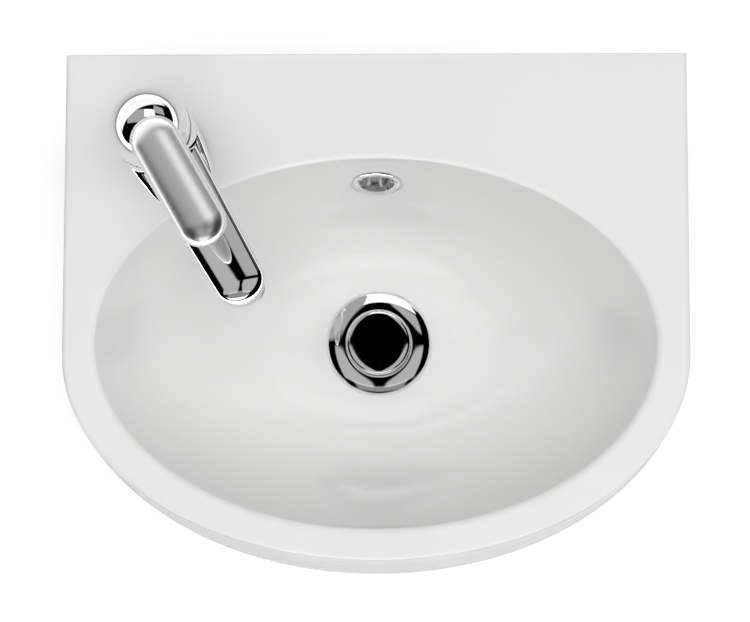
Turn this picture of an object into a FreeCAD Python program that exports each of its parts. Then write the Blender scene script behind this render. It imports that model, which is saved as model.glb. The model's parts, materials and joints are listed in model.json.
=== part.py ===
import FreeCAD, Part
import math
import os
import re
import Sketcher

# Wall-hung hand washbasin: a ceramic basin with an overflow, a single-lever mixer tap on the left of the
# ledge and a click waste. The origin lies midway between the two wall fixing holes on the wall face.
# +Z is up, the wall is at +Y, the user stands at -Y. Lengths are millimetres and angles are degrees.

SIZES = {
    # Basin outline, seen from above
    "basin_half_width": 180,
    "side_straight": 175,          # from the wall to where the rounded front starts
    "front_flare": 8.3,            # the apron leans this far out below the rim
    # Basin heights, measured down from the rim
    "rim_above_fixings": 60,
    "apron_drop": 22,
    "foot_height": 25,             # foot below the bowl's drain seat
    "foot_half_width": 48,
    "foot_front": 57.9,            # from the drain's axis to the foot's front
    "rim_edge_radius": 2.5,
    # Bowl
    "side_rim": 18,                # rim beside the bowl, at its widest
    "bowl_half_depth": 106.75,
    "back_ledge": 60.75,           # from the wall to the bowl, at its middle
    "front_rim": 17.45,            # rim in front of the bowl
    "drain_setback": 6.4,          # the drain lies this much nearer the wall than the bowl's rim is centred
    "bowl_depth": 105,
    "bowl_wall": 11,
    "bowl_floor": 12,
    "bowl_edge_radius": 4,
    # Hollow behind the bowl
    "ledge_thickness": 16,
    "back_plate": 16,
    "wall_stock": 2,               # ground off behind, so that the basin lies flat on the wall
    "cheek_wall": 16,
    "back_plate_height": 95,
    "fixing_spacing": 200,
    "fixing_hole_radius": 7,
    # Overflow
    "overflow_drop": 38,
    "overflow_hole_radius": 12,
    "overflow_hole_depth": 15,
    "overflow_boss_wall": 6,
    "overflow_seat_sink": 0.8,
    "overflow_ring_radius": 14.5,
    "overflow_ring_rise": 1.4,
    "overflow_sleeve_wall": 1.2,
    "overflow_sleeve_length": 12,
    "overflow_clip_wall": 1.4,
    "overflow_clip_length": 9,
    "overflow_collar_length": 2,
    "overflow_bar_width": 1.8,
    "duct_radius": 7,
    "duct_wall": 5,
    "duct_lean": 21,
    "duct_behind_wall": 12.7,      # from the bowl's face to the duct's axis, at the overflow
    "duct_bend_radius": 20,
    "duct_below_seat": 12,
    "overflow_clearance": 0.3,
    # Waste
    "drain_hole_radius": 23,
    "flange_radius": 31.85,
    "flange_height": 4.2,
    "flange_crown": 7,             # width of the rounded outer edge of the flange
    "flange_crown_radius": 9,
    "flange_lip": 1.2,
    "flange_lift": 0.2,
    "flange_seat_depth": 3,        # depth of the cone that the plug closes on
    "flange_seat_width": 4,
    "recess_clearance": 1.6,
    "flange_seal_thickness": 1.5,
    "tail_radius": 20.955,
    "tail_bore_radius": 17.8,
    "tail_length": 78,
    "tail_neck_step": 0.25,        # the tail is slimmer above the stretch that takes the trap
    "thread_clearance": 0.06,
    "seal_clearance": 0.3,
    "window_top": 8,
    "window_height": 10,
    "window_width": 12,
    "hub_top": 34,
    "hub_height": 10,
    "hub_wall": 2.6,
    "spoke_width": 3,
    "lower_seal_height": 8,
    "lower_seal_radius": 30,
    "lower_seal_top_radius": 27,
    "slip_washer_thickness": 2,
    "back_nut_radius": 33,
    "back_nut_height": 10,
    # Click mechanism under the plug
    "barrel_radius": 6.5,
    "barrel_wall": 1.9,
    "barrel_top": 12,
    "barrel_length": 36,
    "barrel_collar_radius": 9,
    "barrel_collar_height": 3,
    "barrel_roof": 2,
    "end_cap_height": 3,
    "piston_height": 4,
    "stem_radius": 2.5,
    "slide_clearance": 0.1,
    "spring_wire_radius": 0.5,
    "spring_turns": 7,
    # Plug
    "plug_radius": 20.25,
    "plug_travel": 8,
    "plug_edge_height": 2,
    "plug_shoulder_rise": 2.2,
    "plug_shoulder_width": 2.6,
    "plug_shoulder_radius": 3,
    "plug_dome_rise": 1.6,
    "plug_closed_height": 3.3,
    "plug_boss_radius": 5.5,
    "plug_boss_height": 6,
    "plug_seal_radius": 18,
    "plug_seal_thickness": 1.6,
    "edge_break": 0.4,
    # Tap: place on the ledge, and the angle of its spout from +X towards the user
    "tap_from_bowl": 30.1102,       # from the bowl's rim to the tap's axis
    "tap_bearing": 52.104,         # seen from the bowl's middle, up from the left
    "tap_turn": 60,
    "tap_hole_radius": 17.5,
    "base_gasket_thickness": 2,
    "base_gasket_width": 3.6,
    "body_radius": 22,
    "body_edge_radius": 0.6,
    "pivot_height": 90,
    "collar_rise": 2,              # the collar's edge stands this far above the pivot
    "collar_bore_radius": 20.8,
    "spigot_clearance": 1,
    "spigot_length": 8,
    "inlet_radius": 4.5,
    "inlet_length": 14,
    "inlet_side": 7.5,
    "inlet_back": 4,
    "waterway_radius": 3.2,
    "disc_port_radius": 2.4,
    "outlet_ahead": 7,
    "outlet_radius": 4.2,
    # Spout
    "spout_root_half_width": 15.5,
    "spout_tip_half_width": 13.5,
    "spout_reach": 91.5,           # from the tap's axis to the aerator's axis
    "spout_root_top": 66,
    "spout_tip_top": 63,
    "spout_tip_bottom": 44,
    "spout_root_bottom": 34,
    "spout_root_ahead": 16,
    "spout_flat_length": 17,
    "spout_edge_radius": 3,
    "spout_bore_radius": 4,
    "spout_bore_height": 54,
    "aerator_radius": 10.9,
    "aerator_wall": 1.9,
    "aerator_drop": 2.5,
    "aerator_height": 10,
    "aerator_lip": 1.2,
    "aerator_seal_thickness": 1.6,
    "aerator_seal_width": 3.4,
    "aerator_clearance": 0.1,
    "jet_radius": 1.1,
    "jet_pitch": 2.9,
    # Clamping under the ledge
    "stud_ahead": 11,
    "stud_radius": 4,
    "stud_engaged": 12,
    "stud_below_ledge": 34,
    "horseshoe_radius": 22.5,
    "horseshoe_half_gap": 14,
    "horseshoe_edge": 5,
    "rubber_washer_thickness": 3,
    "clamp_washer_thickness": 2.5,
    "stud_nut_radius": 7.5,
    "stud_nut_height": 7.5,
    # Cartridge, measured down from the pivot
    "cartridge_depth": 31,
    "cartridge_radius": 14.5,
    "cartridge_base_height": 3.5,
    "cartridge_shoulder": 24,
    "cartridge_neck_radius": 13,
    "cartridge_bore_radius": 11.7,
    "cartridge_clearance": 0.15,
    "cartridge_nut_height": 7,
    "cartridge_nut_wall": 3.8,
    "housing_top": 2,
    "housing_roof": 2.8,
    "port_seal_width": 1.3,
    "port_seal_thickness": 1.2,
    "fixed_disc_top": 16.3,
    "fixed_disc_height": 4,
    "disc_gap": 0.1,
    "moving_disc_radius": 9.2,
    "moving_disc_height": 3,
    "moving_disc_offset": 2.15,
    "mixing_recess_radius": 5.6,
    "mixing_recess_depth": 1.6,
    "carrier_height": 4.8,
    "carrier_pocket_depth": 4,
    "tip_radius": 2.6,
    "tip_slack": 0.15,
    "tip_floor_gap": 0.3,          # under the tip at rest; it swings lowest halfway
    "tip_swing": 1.25,             # extra pocket length for the tilting tip
    "turret_gap": 0.4,
    "turret_flange_height": 3,
    "turret_top": 4,
    "turret_neck_radius": 9.8,
    "turret_clearance": 0.2,
    "turret_slot_back": 7,
    "turret_slot_front": 7.5,
    "spindle_radius": 4,
    "spindle_rise": 18.5,
    "pivot_pin_radius": 1.5,
    "pivot_pin_clearance": 0.05,
    # Lever
    "ball_radius": 20.5,
    "ball_wall": 2.5,
    "skirt_drop": 4.5,             # the ball ends this far below the pivot, at its axis
    "skirt_tilt": 11,
    "lever_boss_radius": 7.5,
    "lever_boss_bottom": 11.5,
    "lever_start": 2,
    "lever_end": 76,
    "lever_half_width": 13.1,
    "lever_edge_radius": 4,
    "lever_back_bottom": 10.5,
    "lever_back_top": 26.5,
    "lever_front_bottom": 26.5,
    "lever_front_top": 37,
    "grub_height": 16.5,
    "grub_tilt": 20,
    "grub_radius": 2.2,
    "grub_length": 4,
    "index_radius": 2.8,
    "index_length": 2.4,
    "index_sink": 0.3,
}

# Sizes that follow from others, so that the basin closes round its bowl and the tap stays at its corner.
TIED = {
    "bowl_half_width": "(basin_half_width - side_rim)",
    "bowl_from_wall": "(back_ledge + bowl_half_depth)",
    "drain_from_wall": "(bowl_from_wall - drain_setback)",
    "rim_front_bulge": "(bowl_from_wall + bowl_half_depth + front_rim - side_straight)",
    "basin_height": "(bowl_depth + foot_height)",
    "foot_front_bulge": "(drain_from_wall + foot_front - side_straight)",
    "tap_from_centre": "((bowl_half_width + tap_from_bowl) * cos(tap_bearing))",
    "tap_from_wall": "(bowl_from_wall - (bowl_half_depth + tap_from_bowl) * sin(tap_bearing))",
}
# Shape of the bowl: its level ellipses shrink by these shares, and the depth grows as one minus the share's
# fourth power. Their centres move back to the drain in step with the depth.
BOWL_SHARES = (1.02, 1.0, 0.97, 0.92, 0.84, 0.72, 0.55, 0.3)
WALL_SHARES = (0.99, 0.95, 0.9, 0.82, 0.72, 0.55, 0.3)
# Shape of the underside between apron and foot: share of the drop, then what is left of the width and bulge.
UNDERSIDE_SHARES = ((0.0, 1.0, 1.0), (0.26, 0.92, 0.87), (0.58, 0.73, 0.69), (0.83, 0.43, 0.42),
                    (1.0, 0.0, 0.0))
BAR_COUNT = 8
BAR_SHIFT = 0.3                    # the clip's first leg stands this share of a step round from the top
SPOKE_COUNT = 3
WINDOW_COUNT = 4
ORIGIN = FreeCAD.Vector(0, 0, 0)
UP = FreeCAD.Vector(0, 0, 1)

document = FreeCAD.newDocument("washbasin")
sheet = document.addObject("Spreadsheet::Sheet", "Sizes")
for row, (alias, size) in enumerate(SIZES.items(), start=1):
    sheet.set(f"A{row}", alias)
    sheet.set(f"B{row}", str(size))
    sheet.setAlias(f"B{row}", alias)
document.recompute()
pieces = []


def sized(text):
    """The expression with each tied size worked out and each size name pointed at the sheet."""
    def point(word):
        if word[0] in TIED:
            return sized(TIED[word[0]])
        return "Sizes." + word[0] if word[0] in SIZES else word[0]

    return re.sub(r"[a-z_]+", point, str(text))


def number(text):
    """What an expression of sizes comes to."""
    found = sheet.evalExpression(sized(text))
    return float(getattr(found, "Value", found))


def bind(item, texts):
    for name, text in texts.items():
        item.setExpression(name, sized(text))
    return item


def move(item, x="0", y="0", z="0"):
    return bind(item, {"Placement.Base.x": x, "Placement.Base.y": y, "Placement.Base.z": z})


def turn(item, axis, angle):
    item.Placement.Rotation = FreeCAD.Rotation(FreeCAD.Vector(*axis), 1)
    return bind(item, {"Placement.Rotation.Angle": angle})


def rod(name, radius, low, high, x="0", y="0"):
    """An upright cylinder from one height to another."""
    made = document.addObject("Part::Cylinder", name)
    bind(made, {"Radius": radius, "Height": f"({high}) - ({low})"})
    return move(made, x, y, low)


def lying(name, radius, back, front, height, y="0"):
    """A cylinder along X."""
    made = document.addObject("Part::Cylinder", name)
    bind(made, {"Radius": radius, "Height": f"({front}) - ({back})"})
    made.Placement.Rotation = FreeCAD.Rotation(FreeCAD.Vector(0, 1, 0), 90)
    return move(made, back, y, height)


def block(name, x, y, z):
    """A box between two planes in each direction."""
    made = document.addObject("Part::Box", name)
    for side, (low, high) in (("Length", x), ("Width", y), ("Height", z)):
        bind(made, {side: f"({high}) - ({low})"})
    return move(made, x[0], y[0], z[0])


def ball(name, radius, height):
    made = document.addObject("Part::Sphere", name)
    bind(made, {"Radius": radius})
    return move(made, z=height)


def join(name, items):
    made = document.addObject("Part::MultiFuse", name)
    made.Shapes = list(items)
    return made


def cut(name, base, tools):
    made = document.addObject("Part::Cut", name)
    made.Base = base
    made.Tool = tools[0] if len(tools) == 1 else join(name + "_tools", tools)
    return made


def common(name, first, second):
    made = document.addObject("Part::Common", name)
    made.Base = first
    made.Tool = second
    return made


def ring(name, outer, inner, low, high, x="0", y="0"):
    rim = rod(name + "_rim", outer, low, high, x, y)
    return cut(name, rim, [rod(name + "_hole", inner, low, high, x, y)])


def origin_plane(body, role):
    return [plane for plane in body.Origin.OriginFeatures if plane.Role == role][0]


def new_sketch(body, name, role, offset="0"):
    sketch = body.newObject("Sketcher::SketchObject", name)
    sketch.AttachmentSupport = [(origin_plane(body, role), "")]
    sketch.MapMode = "FlatFace"
    return bind(sketch, {"AttachmentOffset.Base.z": offset})


def hold(sketch, name, constraint, text):
    """Add a constraint whose value follows the sizes."""
    index = sketch.addConstraint(Sketcher.Constraint(*constraint, number(text)))
    sketch.renameConstraint(index, name)
    bind(sketch, {"Constraints." + name: text})


def outline(sketch, points):
    """A closed outline. Each point is two texts; a third gives the radius of an arc that bulges outwards
    on a counter-clockwise outline and runs to the next point."""
    places = [FreeCAD.Vector(number(point[0]), number(point[1]), 0) for point in points]
    for index, point in enumerate(points):
        start = places[index]
        end = places[(index + 1) % len(points)]
        if len(point) == 2:
            sketch.addGeometry(Part.LineSegment(start, end))
            continue
        radius = number(point[2])
        chord = end - start
        across = FreeCAD.Vector(-chord.y, chord.x, 0).normalize()
        centre = (start + end) * 0.5 + across * math.sqrt(radius ** 2 - chord.Length ** 2 / 4)
        angles = [math.atan2(place.y - centre.y, place.x - centre.x) for place in (start, end)]
        sketch.addGeometry(Part.ArcOfCircle(Part.Circle(centre, UP, radius), *angles))
    for index, point in enumerate(points):
        following = (index + 1) % len(points)
        sketch.addConstraint(Sketcher.Constraint("Coincident", index, 2, following, 1))
        hold(sketch, f"across{index}", ("DistanceX", -1, 1, index, 1), point[0])
        hold(sketch, f"along{index}", ("DistanceY", -1, 1, index, 1), point[1])
        if len(point) == 3:
            hold(sketch, f"arc{index}", ("Radius", index), point[2])
    return sketch


def turned(name, points):
    """A piece turned about Z from an outline of radius and height."""
    body = document.addObject("PartDesign::Body", name)
    sketch = outline(new_sketch(body, name + "_profile", "XZ_Plane"), points)
    revolution = body.newObject("PartDesign::Revolution", name + "_turned")
    revolution.Profile = sketch
    revolution.ReferenceAxis = (sketch, ["V_Axis"])
    return body


def slab(name, role, points, offset, length):
    """An outline on an origin plane, made solid over a length along the plane's normal."""
    body = document.addObject("PartDesign::Body", name)
    sketch = outline(new_sketch(body, name + "_outline", role, offset), points)
    pad = body.newObject("PartDesign::Pad", name + "_pad")
    pad.Profile = sketch
    bind(pad, {"Length": length})
    return body


def rounded(name, base, radius, chosen):
    """The base with the chosen edges rounded."""
    document.recompute()
    body = document.addObject("PartDesign::Body", name)
    body.BaseFeature = base
    document.recompute()
    feature = body.Tip
    names = [f"Edge{index}" for index, edge in enumerate(feature.Shape.Edges, start=1) if chosen(edge)]
    fillet = body.newObject("PartDesign::Fillet", name + "_rounding")
    fillet.Base = (feature, names)
    bind(fillet, {"Radius": radius})
    return body


def crosswise(name, radius, half_length, height):
    """A cylinder along Y, centred on the axis."""
    made = document.addObject("Part::Cylinder", name)
    bind(made, {"Radius": radius, "Height": f"2 * ({half_length})"})
    made.Placement.Rotation = FreeCAD.Rotation(FreeCAD.Vector(1, 0, 0), 90)
    return move(made, y=half_length, z=height)


def hex_bar(name, radius, low, high, x="0"):
    made = document.addObject("Part::Prism", name)
    made.Polygon = 6
    bind(made, {"Circumradius": radius, "Height": f"({high}) - ({low})"})
    return move(made, x, z=low)


def ellipse_loft(name, half_width, half_depth, depth, shares):
    """The bowl's surface as a solid, through level ellipses around its centre."""
    sections = []
    for index, share in enumerate(shares):
        section = document.addObject("Part::Ellipse", f"{name}_level{index}")
        bind(section, {"MajorRadius": f"({half_width}) * {share}",
                       "MinorRadius": f"({half_depth}) * {share}"})
        sunk = f"{1 - share ** 4:.6f}"
        sections.append(move(section, y=f"-bowl_from_wall + drain_setback * {sunk}", z=f"-({depth}) * {sunk}"))
    loft = document.addObject("Part::Loft", name)
    loft.Sections = sections
    loft.Solid = True
    return loft


def spin(item, share, width, low):
    """Turn a block that runs out along X about the axis, keeping it centred on its own line."""
    angle = 2 * math.pi * share
    turn(item, (0, 0, 1), f"{math.degrees(angle):.4f}")
    return move(item, f"{width} / 2 * {math.sin(angle):.6f}", f"-{width} / 2 * {math.cos(angle):.6f}", low)


def chamfered(name, base, size):
    """A rod with both of its end edges broken."""
    made = document.addObject("Part::Chamfer", name)
    made.Base = base
    made.Edges = [(edge, number(size), number(size)) for edge in (1, 3)]
    return made


# The overflow sits on the back wall of the bowl, where the wall leans back from upright.
OVERFLOW_SHARE = "(1 - overflow_drop / bowl_depth)"
OVERFLOW_FROM_WALL = (f"(bowl_from_wall - drain_setback * overflow_drop / bowl_depth"
                      f" - bowl_half_depth * {OVERFLOW_SHARE} ^ 0.25)")
OVERFLOW_LEAN = f"atan((bowl_half_depth / (4 * {OVERFLOW_SHARE} ^ 0.75) - drain_setback) / bowl_depth)"
FRAMES = {
    "basin": ("0", "0", "rim_above_fixings"),
    "aerator": ("-tap_from_centre + spout_reach * cos(tap_turn)",
                "-tap_from_wall - spout_reach * sin(tap_turn)", "rim_above_fixings"),
    "waste": ("0", "-drain_from_wall", "rim_above_fixings - bowl_depth"),
    "overflow": ("0", f"-{OVERFLOW_FROM_WALL}", "rim_above_fixings - overflow_drop"),
    "tap": ("-tap_from_centre", "-tap_from_wall", "rim_above_fixings"),
}
FRAME_TURNS = {"overflow": ((1, 0, 0), f"90 deg - {OVERFLOW_LEAN}"), "tap": ((0, 0, -1), "tap_turn")}


def finish(item, label, frame):
    """Give a finished piece its name and set it in its place: basin pieces are drawn from the rim's height,
    waste pieces from the drain's seat, overflow pieces from the bowl wall and tap pieces from the ledge."""
    item.Label = label
    if frame in FRAME_TURNS:
        turn(item, *FRAME_TURNS[frame])
    move(item, *FRAMES[frame])
    pieces.append(item)


def rim_section(body, name, half_width, bulge, drop):
    """A level outline of the basin: flat at the wall, straight sides, half an ellipse at the front."""
    sketch = new_sketch(body, name, "XY_Plane", f"-({drop})")
    bind(sketch, {"AttachmentOffset.Base.y": "-side_straight"})
    side = number(half_width)
    back = number("side_straight + wall_stock")
    corners = [FreeCAD.Vector(x, y, 0) for x, y in ((-side, back), (side, back), (side, 0), (-side, 0))]
    sketch.addGeometry(Part.LineSegment(corners[0], corners[1]))
    sketch.addGeometry(Part.LineSegment(corners[1], corners[2]))
    front = number(bulge)
    wide = side >= front           # the front's longer axis lies across, or else fore and aft
    ends = (FreeCAD.Vector(side, 0, 0), FreeCAD.Vector(0, front, 0))
    oval = Part.Ellipse(*ends, ORIGIN) if wide else Part.Ellipse(ends[1], -ends[0], ORIGIN)
    start = math.pi if wide else math.pi / 2
    sketch.addGeometry(Part.ArcOfEllipse(oval, start, start + math.pi))
    sketch.addGeometry(Part.LineSegment(corners[3], corners[0]))
    sketch.exposeInternalGeometry(2)
    for rule in (("Coincident", 0, 2, 1, 1), ("Coincident", 1, 2, 2, 2), ("Coincident", 2, 1, 3, 1),
                 ("Coincident", 3, 2, 0, 1), ("Coincident", 2, 3, -1, 1), ("PointOnObject", 1, 2, -1),
                 ("PointOnObject", 3, 1, -1), ("Vertical", 1), ("Vertical", 3), ("Horizontal", 0),
                 ("Horizontal" if wide else "Vertical", 4)):
        sketch.addConstraint(Sketcher.Constraint(*rule))
    across, ahead = (4, 5) if wide else (5, 4)
    hold(sketch, "width", ("Distance", across), f"2 * ({half_width})")
    hold(sketch, "bulge", ("Distance", ahead), f"2 * ({bulge})")
    hold(sketch, "side", ("Distance", 1), "side_straight + wall_stock")
    return sketch


def basin_envelope():
    """The basin's outside as one solid, with the rim's edge rounded at the sides and the front."""
    body = document.addObject("PartDesign::Body", "envelope")
    sections = [rim_section(body, "rim_outline", "basin_half_width", "rim_front_bulge", "0"),
                rim_section(body, "apron_outline", "basin_half_width", "rim_front_bulge + front_flare / 2",
                            "apron_drop / 2")]
    for index, (share, width, bulge) in enumerate(UNDERSIDE_SHARES):
        sections.append(rim_section(
            body, f"underside{index}",
            f"foot_half_width + (basin_half_width - foot_half_width) * {width}",
            f"foot_front_bulge + (rim_front_bulge + front_flare - foot_front_bulge) * {bulge}",
            f"apron_drop + (basin_height - apron_drop) * {share}"))
    loft = body.newObject("PartDesign::AdditiveLoft", "envelope_loft")
    loft.Profile = sections[0]
    loft.Sections = sections[1:]
    return rounded("rounded_envelope", body, "rim_edge_radius", lambda edge: (
        edge.BoundBox.ZMin > -0.01 and edge.BoundBox.YMin < -0.01))


def duct(name, radius):
    """The overflow's way down behind the bowl: a leaning run and a level run, met by a bend."""
    low = "-(bowl_depth + duct_below_seat)"
    top = f"-overflow_drop - duct_behind_wall * sin({OVERFLOW_LEAN})"
    top_from_wall = f"{OVERFLOW_FROM_WALL} - duct_behind_wall * cos({OVERFLOW_LEAN})"
    corner = f"{top_from_wall} + (({top}) - ({low})) * tan(duct_lean)"
    setback = "duct_bend_radius * tan(45 - duct_lean / 2)"
    run = document.addObject("Part::Cylinder", name + "_leaning_run")
    bind(run, {"Radius": radius, "Height": f"(({top}) - ({low})) / cos(duct_lean) - {setback}"})
    turn(run, (-1, 0, 0), "duct_lean")
    move(run, y=f"-({corner}) + {setback} * sin(duct_lean)", z=f"({low}) + {setback} * cos(duct_lean)")
    level = document.addObject("Part::Cylinder", name + "_level_run")
    bind(level, {"Radius": radius,
                 "Height": f"drain_from_wall - drain_hole_radius / 2 - ({corner}) - {setback}"})
    level.Placement.Rotation = FreeCAD.Rotation(FreeCAD.Vector(1, 0, 0), 90)
    move(level, y=f"-({corner}) - {setback}", z=low)
    bend = document.addObject("Part::Torus", name + "_bend")
    bind(bend, {"Radius1": "duct_bend_radius", "Radius2": radius, "Angle3": "90 - duct_lean"})
    bend.Placement.Rotation = FreeCAD.Rotation(
        FreeCAD.Vector(0, 0, -1), FreeCAD.Vector(0, 1, 0), FreeCAD.Vector(1, 0, 0), "XYZ")
    move(bend, y=f"-({corner}) - {setback}", z=f"({low}) + duct_bend_radius")
    return [run, level, bend]


def overflow_bore(name, radius, low, high):
    """A cylinder square to the bowl's back wall, placed from the overflow's centre."""
    made = document.addObject("Part::Cylinder", name)
    bind(made, {"Radius": radius, "Height": f"({high}) - ({low})"})
    turn(made, (1, 0, 0), f"90 deg - {OVERFLOW_LEAN}")
    return move(made, y=f"-{OVERFLOW_FROM_WALL} - ({low}) * cos({OVERFLOW_LEAN})",
                z=f"-overflow_drop + ({low}) * sin({OVERFLOW_LEAN})")


def basin():
    niche = block("niche", ("-(basin_half_width - cheek_wall)", "basin_half_width - cheek_wall"),
                  ("-bowl_from_wall", "-back_plate"), ("-2 * basin_height", "-ledge_thickness"))
    under_plate = block("under_plate", ("-2 * basin_half_width", "2 * basin_half_width"),
                        ("-bowl_from_wall", "back_plate"), ("-2 * basin_height", "-back_plate_height"))
    foot = rod("drain_foot", "foot_half_width", "-basin_height", "-bowl_depth", y="-drain_from_wall")
    wall = ellipse_loft("bowl_wall_solid", "bowl_half_width + bowl_wall", "bowl_half_depth + bowl_wall",
                        "bowl_depth + bowl_floor", WALL_SHARES)
    boss = overflow_bore("overflow_boss", "overflow_hole_radius + overflow_boss_wall",
                         "-overflow_hole_depth - overflow_boss_wall", "-overflow_seat_sink")
    casing = duct("duct_casing", "duct_radius + duct_wall")
    grinding = block("wall_grinding", ("-2 * basin_half_width", "2 * basin_half_width"), ("0", "back_plate"),
                     ("-2 * basin_height", "ledge_thickness"))
    shell = cut("hollow_envelope", basin_envelope(), [niche, under_plate, grinding])
    solid = join("ceramic", [shell, wall, foot, boss] + casing)
    bowl = ellipse_loft("bowl", "bowl_half_width", "bowl_half_depth", "bowl_depth", BOWL_SHARES)
    seat = rod("drain_recess", "flange_radius + recess_clearance", "-bowl_depth", "-bowl_depth / 2",
               y="-drain_from_wall")
    drain = rod("drain_hole", "drain_hole_radius", "-2 * basin_height", "-bowl_depth / 2",
                y="-drain_from_wall")
    tap_hole = rod("tap_hole", "tap_hole_radius", "-2 * ledge_thickness", "ledge_thickness",
                   "-tap_from_centre", "-tap_from_wall")
    mouth = overflow_bore("overflow_hole", "overflow_hole_radius", "-overflow_hole_depth",
                          "bowl_half_depth / 4")
    spot = overflow_bore("overflow_seat", "overflow_ring_radius + recess_clearance", "-overflow_seat_sink",
                         "bowl_half_depth / 4")
    fixings = []
    for index, side in enumerate((-1, 1)):
        hole = document.addObject("Part::Cylinder", f"fixing_hole{index}")
        bind(hole, {"Radius": "fixing_hole_radius", "Height": "3 * back_plate"})
        hole.Placement.Rotation = FreeCAD.Rotation(FreeCAD.Vector(1, 0, 0), 90)
        fixings.append(move(hole, f"{side} * fixing_spacing / 2", "back_plate", "-rim_above_fixings"))
    way = duct("duct_way", "duct_radius")
    bored = cut("bored_ceramic", solid, [bowl, seat, drain, tap_hole, mouth, spot] + fixings + way)
    finished = rounded("basin_body", bored, "bowl_edge_radius", lambda edge: (
        abs(edge.BoundBox.ZMax) + abs(edge.BoundBox.ZMin) < 0.01
        and abs(edge.BoundBox.XMax - number("bowl_half_width")) < 1))
    finish(finished, "basin", "basin")


def overflow_trim():
    sleeve = "overflow_hole_radius - overflow_clearance"
    throat = f"({sleeve}) - overflow_sleeve_wall"
    trim = turned("overflow_ring_body", [
        (throat, "-overflow_sleeve_length"), (sleeve, "-overflow_sleeve_length"),
        (sleeve, "-overflow_seat_sink"), ("overflow_ring_radius", "-overflow_seat_sink"),
        ("overflow_ring_radius", "0", "overflow_ring_radius - (" + sleeve + ")"),
        (sleeve, "overflow_ring_rise"), (throat, "overflow_ring_rise - overflow_sleeve_wall / 2")])
    finish(trim, "overflow_ring", "overflow")
    outer = f"{throat} - overflow_clearance / 3"
    inner = f"({outer}) - overflow_clip_wall"
    collar = "-overflow_sleeve_length + overflow_collar_length"
    reach = f"({collar}) + overflow_clip_length - overflow_collar_length"
    tube = ring("clip_tube", outer, inner, "-overflow_sleeve_length", reach)
    bars = []
    for index in range(BAR_COUNT):
        bar = block(f"clip_bar{index}", ("0", outer), ("0", "overflow_bar_width"),
                    ("-overflow_sleeve_length", reach))
        bars.append(spin(bar, (index + BAR_SHIFT) / BAR_COUNT, "overflow_bar_width", "-overflow_sleeve_length"))
    legs = common("clip_legs", tube, join("clip_bars", bars))
    foot = ring("clip_collar", outer, inner, "-overflow_sleeve_length", collar)
    finish(join("overflow_clip", [legs, foot]), "overflow_insert", "overflow")


def waste():
    seat_top = "flange_height"
    under = "bowl_depth - basin_height"
    seal_low = f"{under} - lower_seal_height"
    washer_low = f"{seal_low} - slip_washer_thickness"
    nut_low = f"{washer_low} - back_nut_height"
    neck = "tail_radius - tail_neck_step"
    body = turned("waste_tube", [
        ("tail_bore_radius", "-tail_length"), ("tail_radius", "-tail_length"), ("tail_radius", nut_low),
        (neck, nut_low), (neck, "flange_seal_thickness"),
        ("flange_radius - flange_lip", "flange_seal_thickness"), ("flange_radius - flange_lip", "flange_lift"),
        ("flange_radius", "flange_lift", "flange_crown_radius"), ("flange_radius - flange_crown", seat_top),
        ("tail_bore_radius + flange_seat_width", seat_top),
        ("tail_bore_radius", f"{seat_top} - flange_seat_depth")])
    hub_radius = "barrel_radius + slide_clearance + hub_wall"
    hub_low = "-hub_top - hub_height"
    parts = [body, rod("hub", hub_radius, hub_low, "-hub_top")]
    for index in range(SPOKE_COUNT):
        spoke = block(f"spoke{index}", ("0", "tail_bore_radius + (tail_radius - tail_bore_radius) / 2"),
                      ("-spoke_width / 2", "spoke_width / 2"), (hub_low, "-hub_top"))
        parts.append(spin(spoke, index / SPOKE_COUNT, "spoke_width", hub_low))
    openings = [rod("hub_bore", "barrel_radius + slide_clearance", "-tail_length", "0")]
    for index in range(WINDOW_COUNT):
        window = block(f"window{index}", ("0", "2 * tail_radius"), ("0", "window_width"),
                       ("-window_top - window_height", "-window_top"))
        openings.append(spin(window, (index + 1 / 2) / WINDOW_COUNT, "window_width",
                             "-window_top - window_height"))
    finish(cut("waste_tube_bored", join("waste_casting", parts), openings), "waste_body", "waste")
    sleeve = "tail_radius + seal_clearance"
    flange_seal = ring("flange_seal", "flange_radius - flange_lip - seal_clearance", sleeve, "0",
                       "flange_seal_thickness")
    finish(flange_seal, "waste_flange_seal", "waste")
    finish(turned("lower_seal", [
        (sleeve, seal_low), ("lower_seal_radius", seal_low), ("lower_seal_top_radius", under),
        (sleeve, under)]), "waste_lower_seal", "waste")
    slip_washer = ring("slip_washer", "lower_seal_radius", sleeve, washer_low, seal_low)
    finish(slip_washer, "waste_slip_washer", "waste")
    thread = rod("back_nut_bore", "tail_radius + thread_clearance", nut_low, washer_low)
    blank = hex_bar("back_nut_blank", "back_nut_radius", nut_low, washer_low)
    finish(cut("back_nut", blank, [thread]), "waste_back_nut", "waste")


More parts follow.
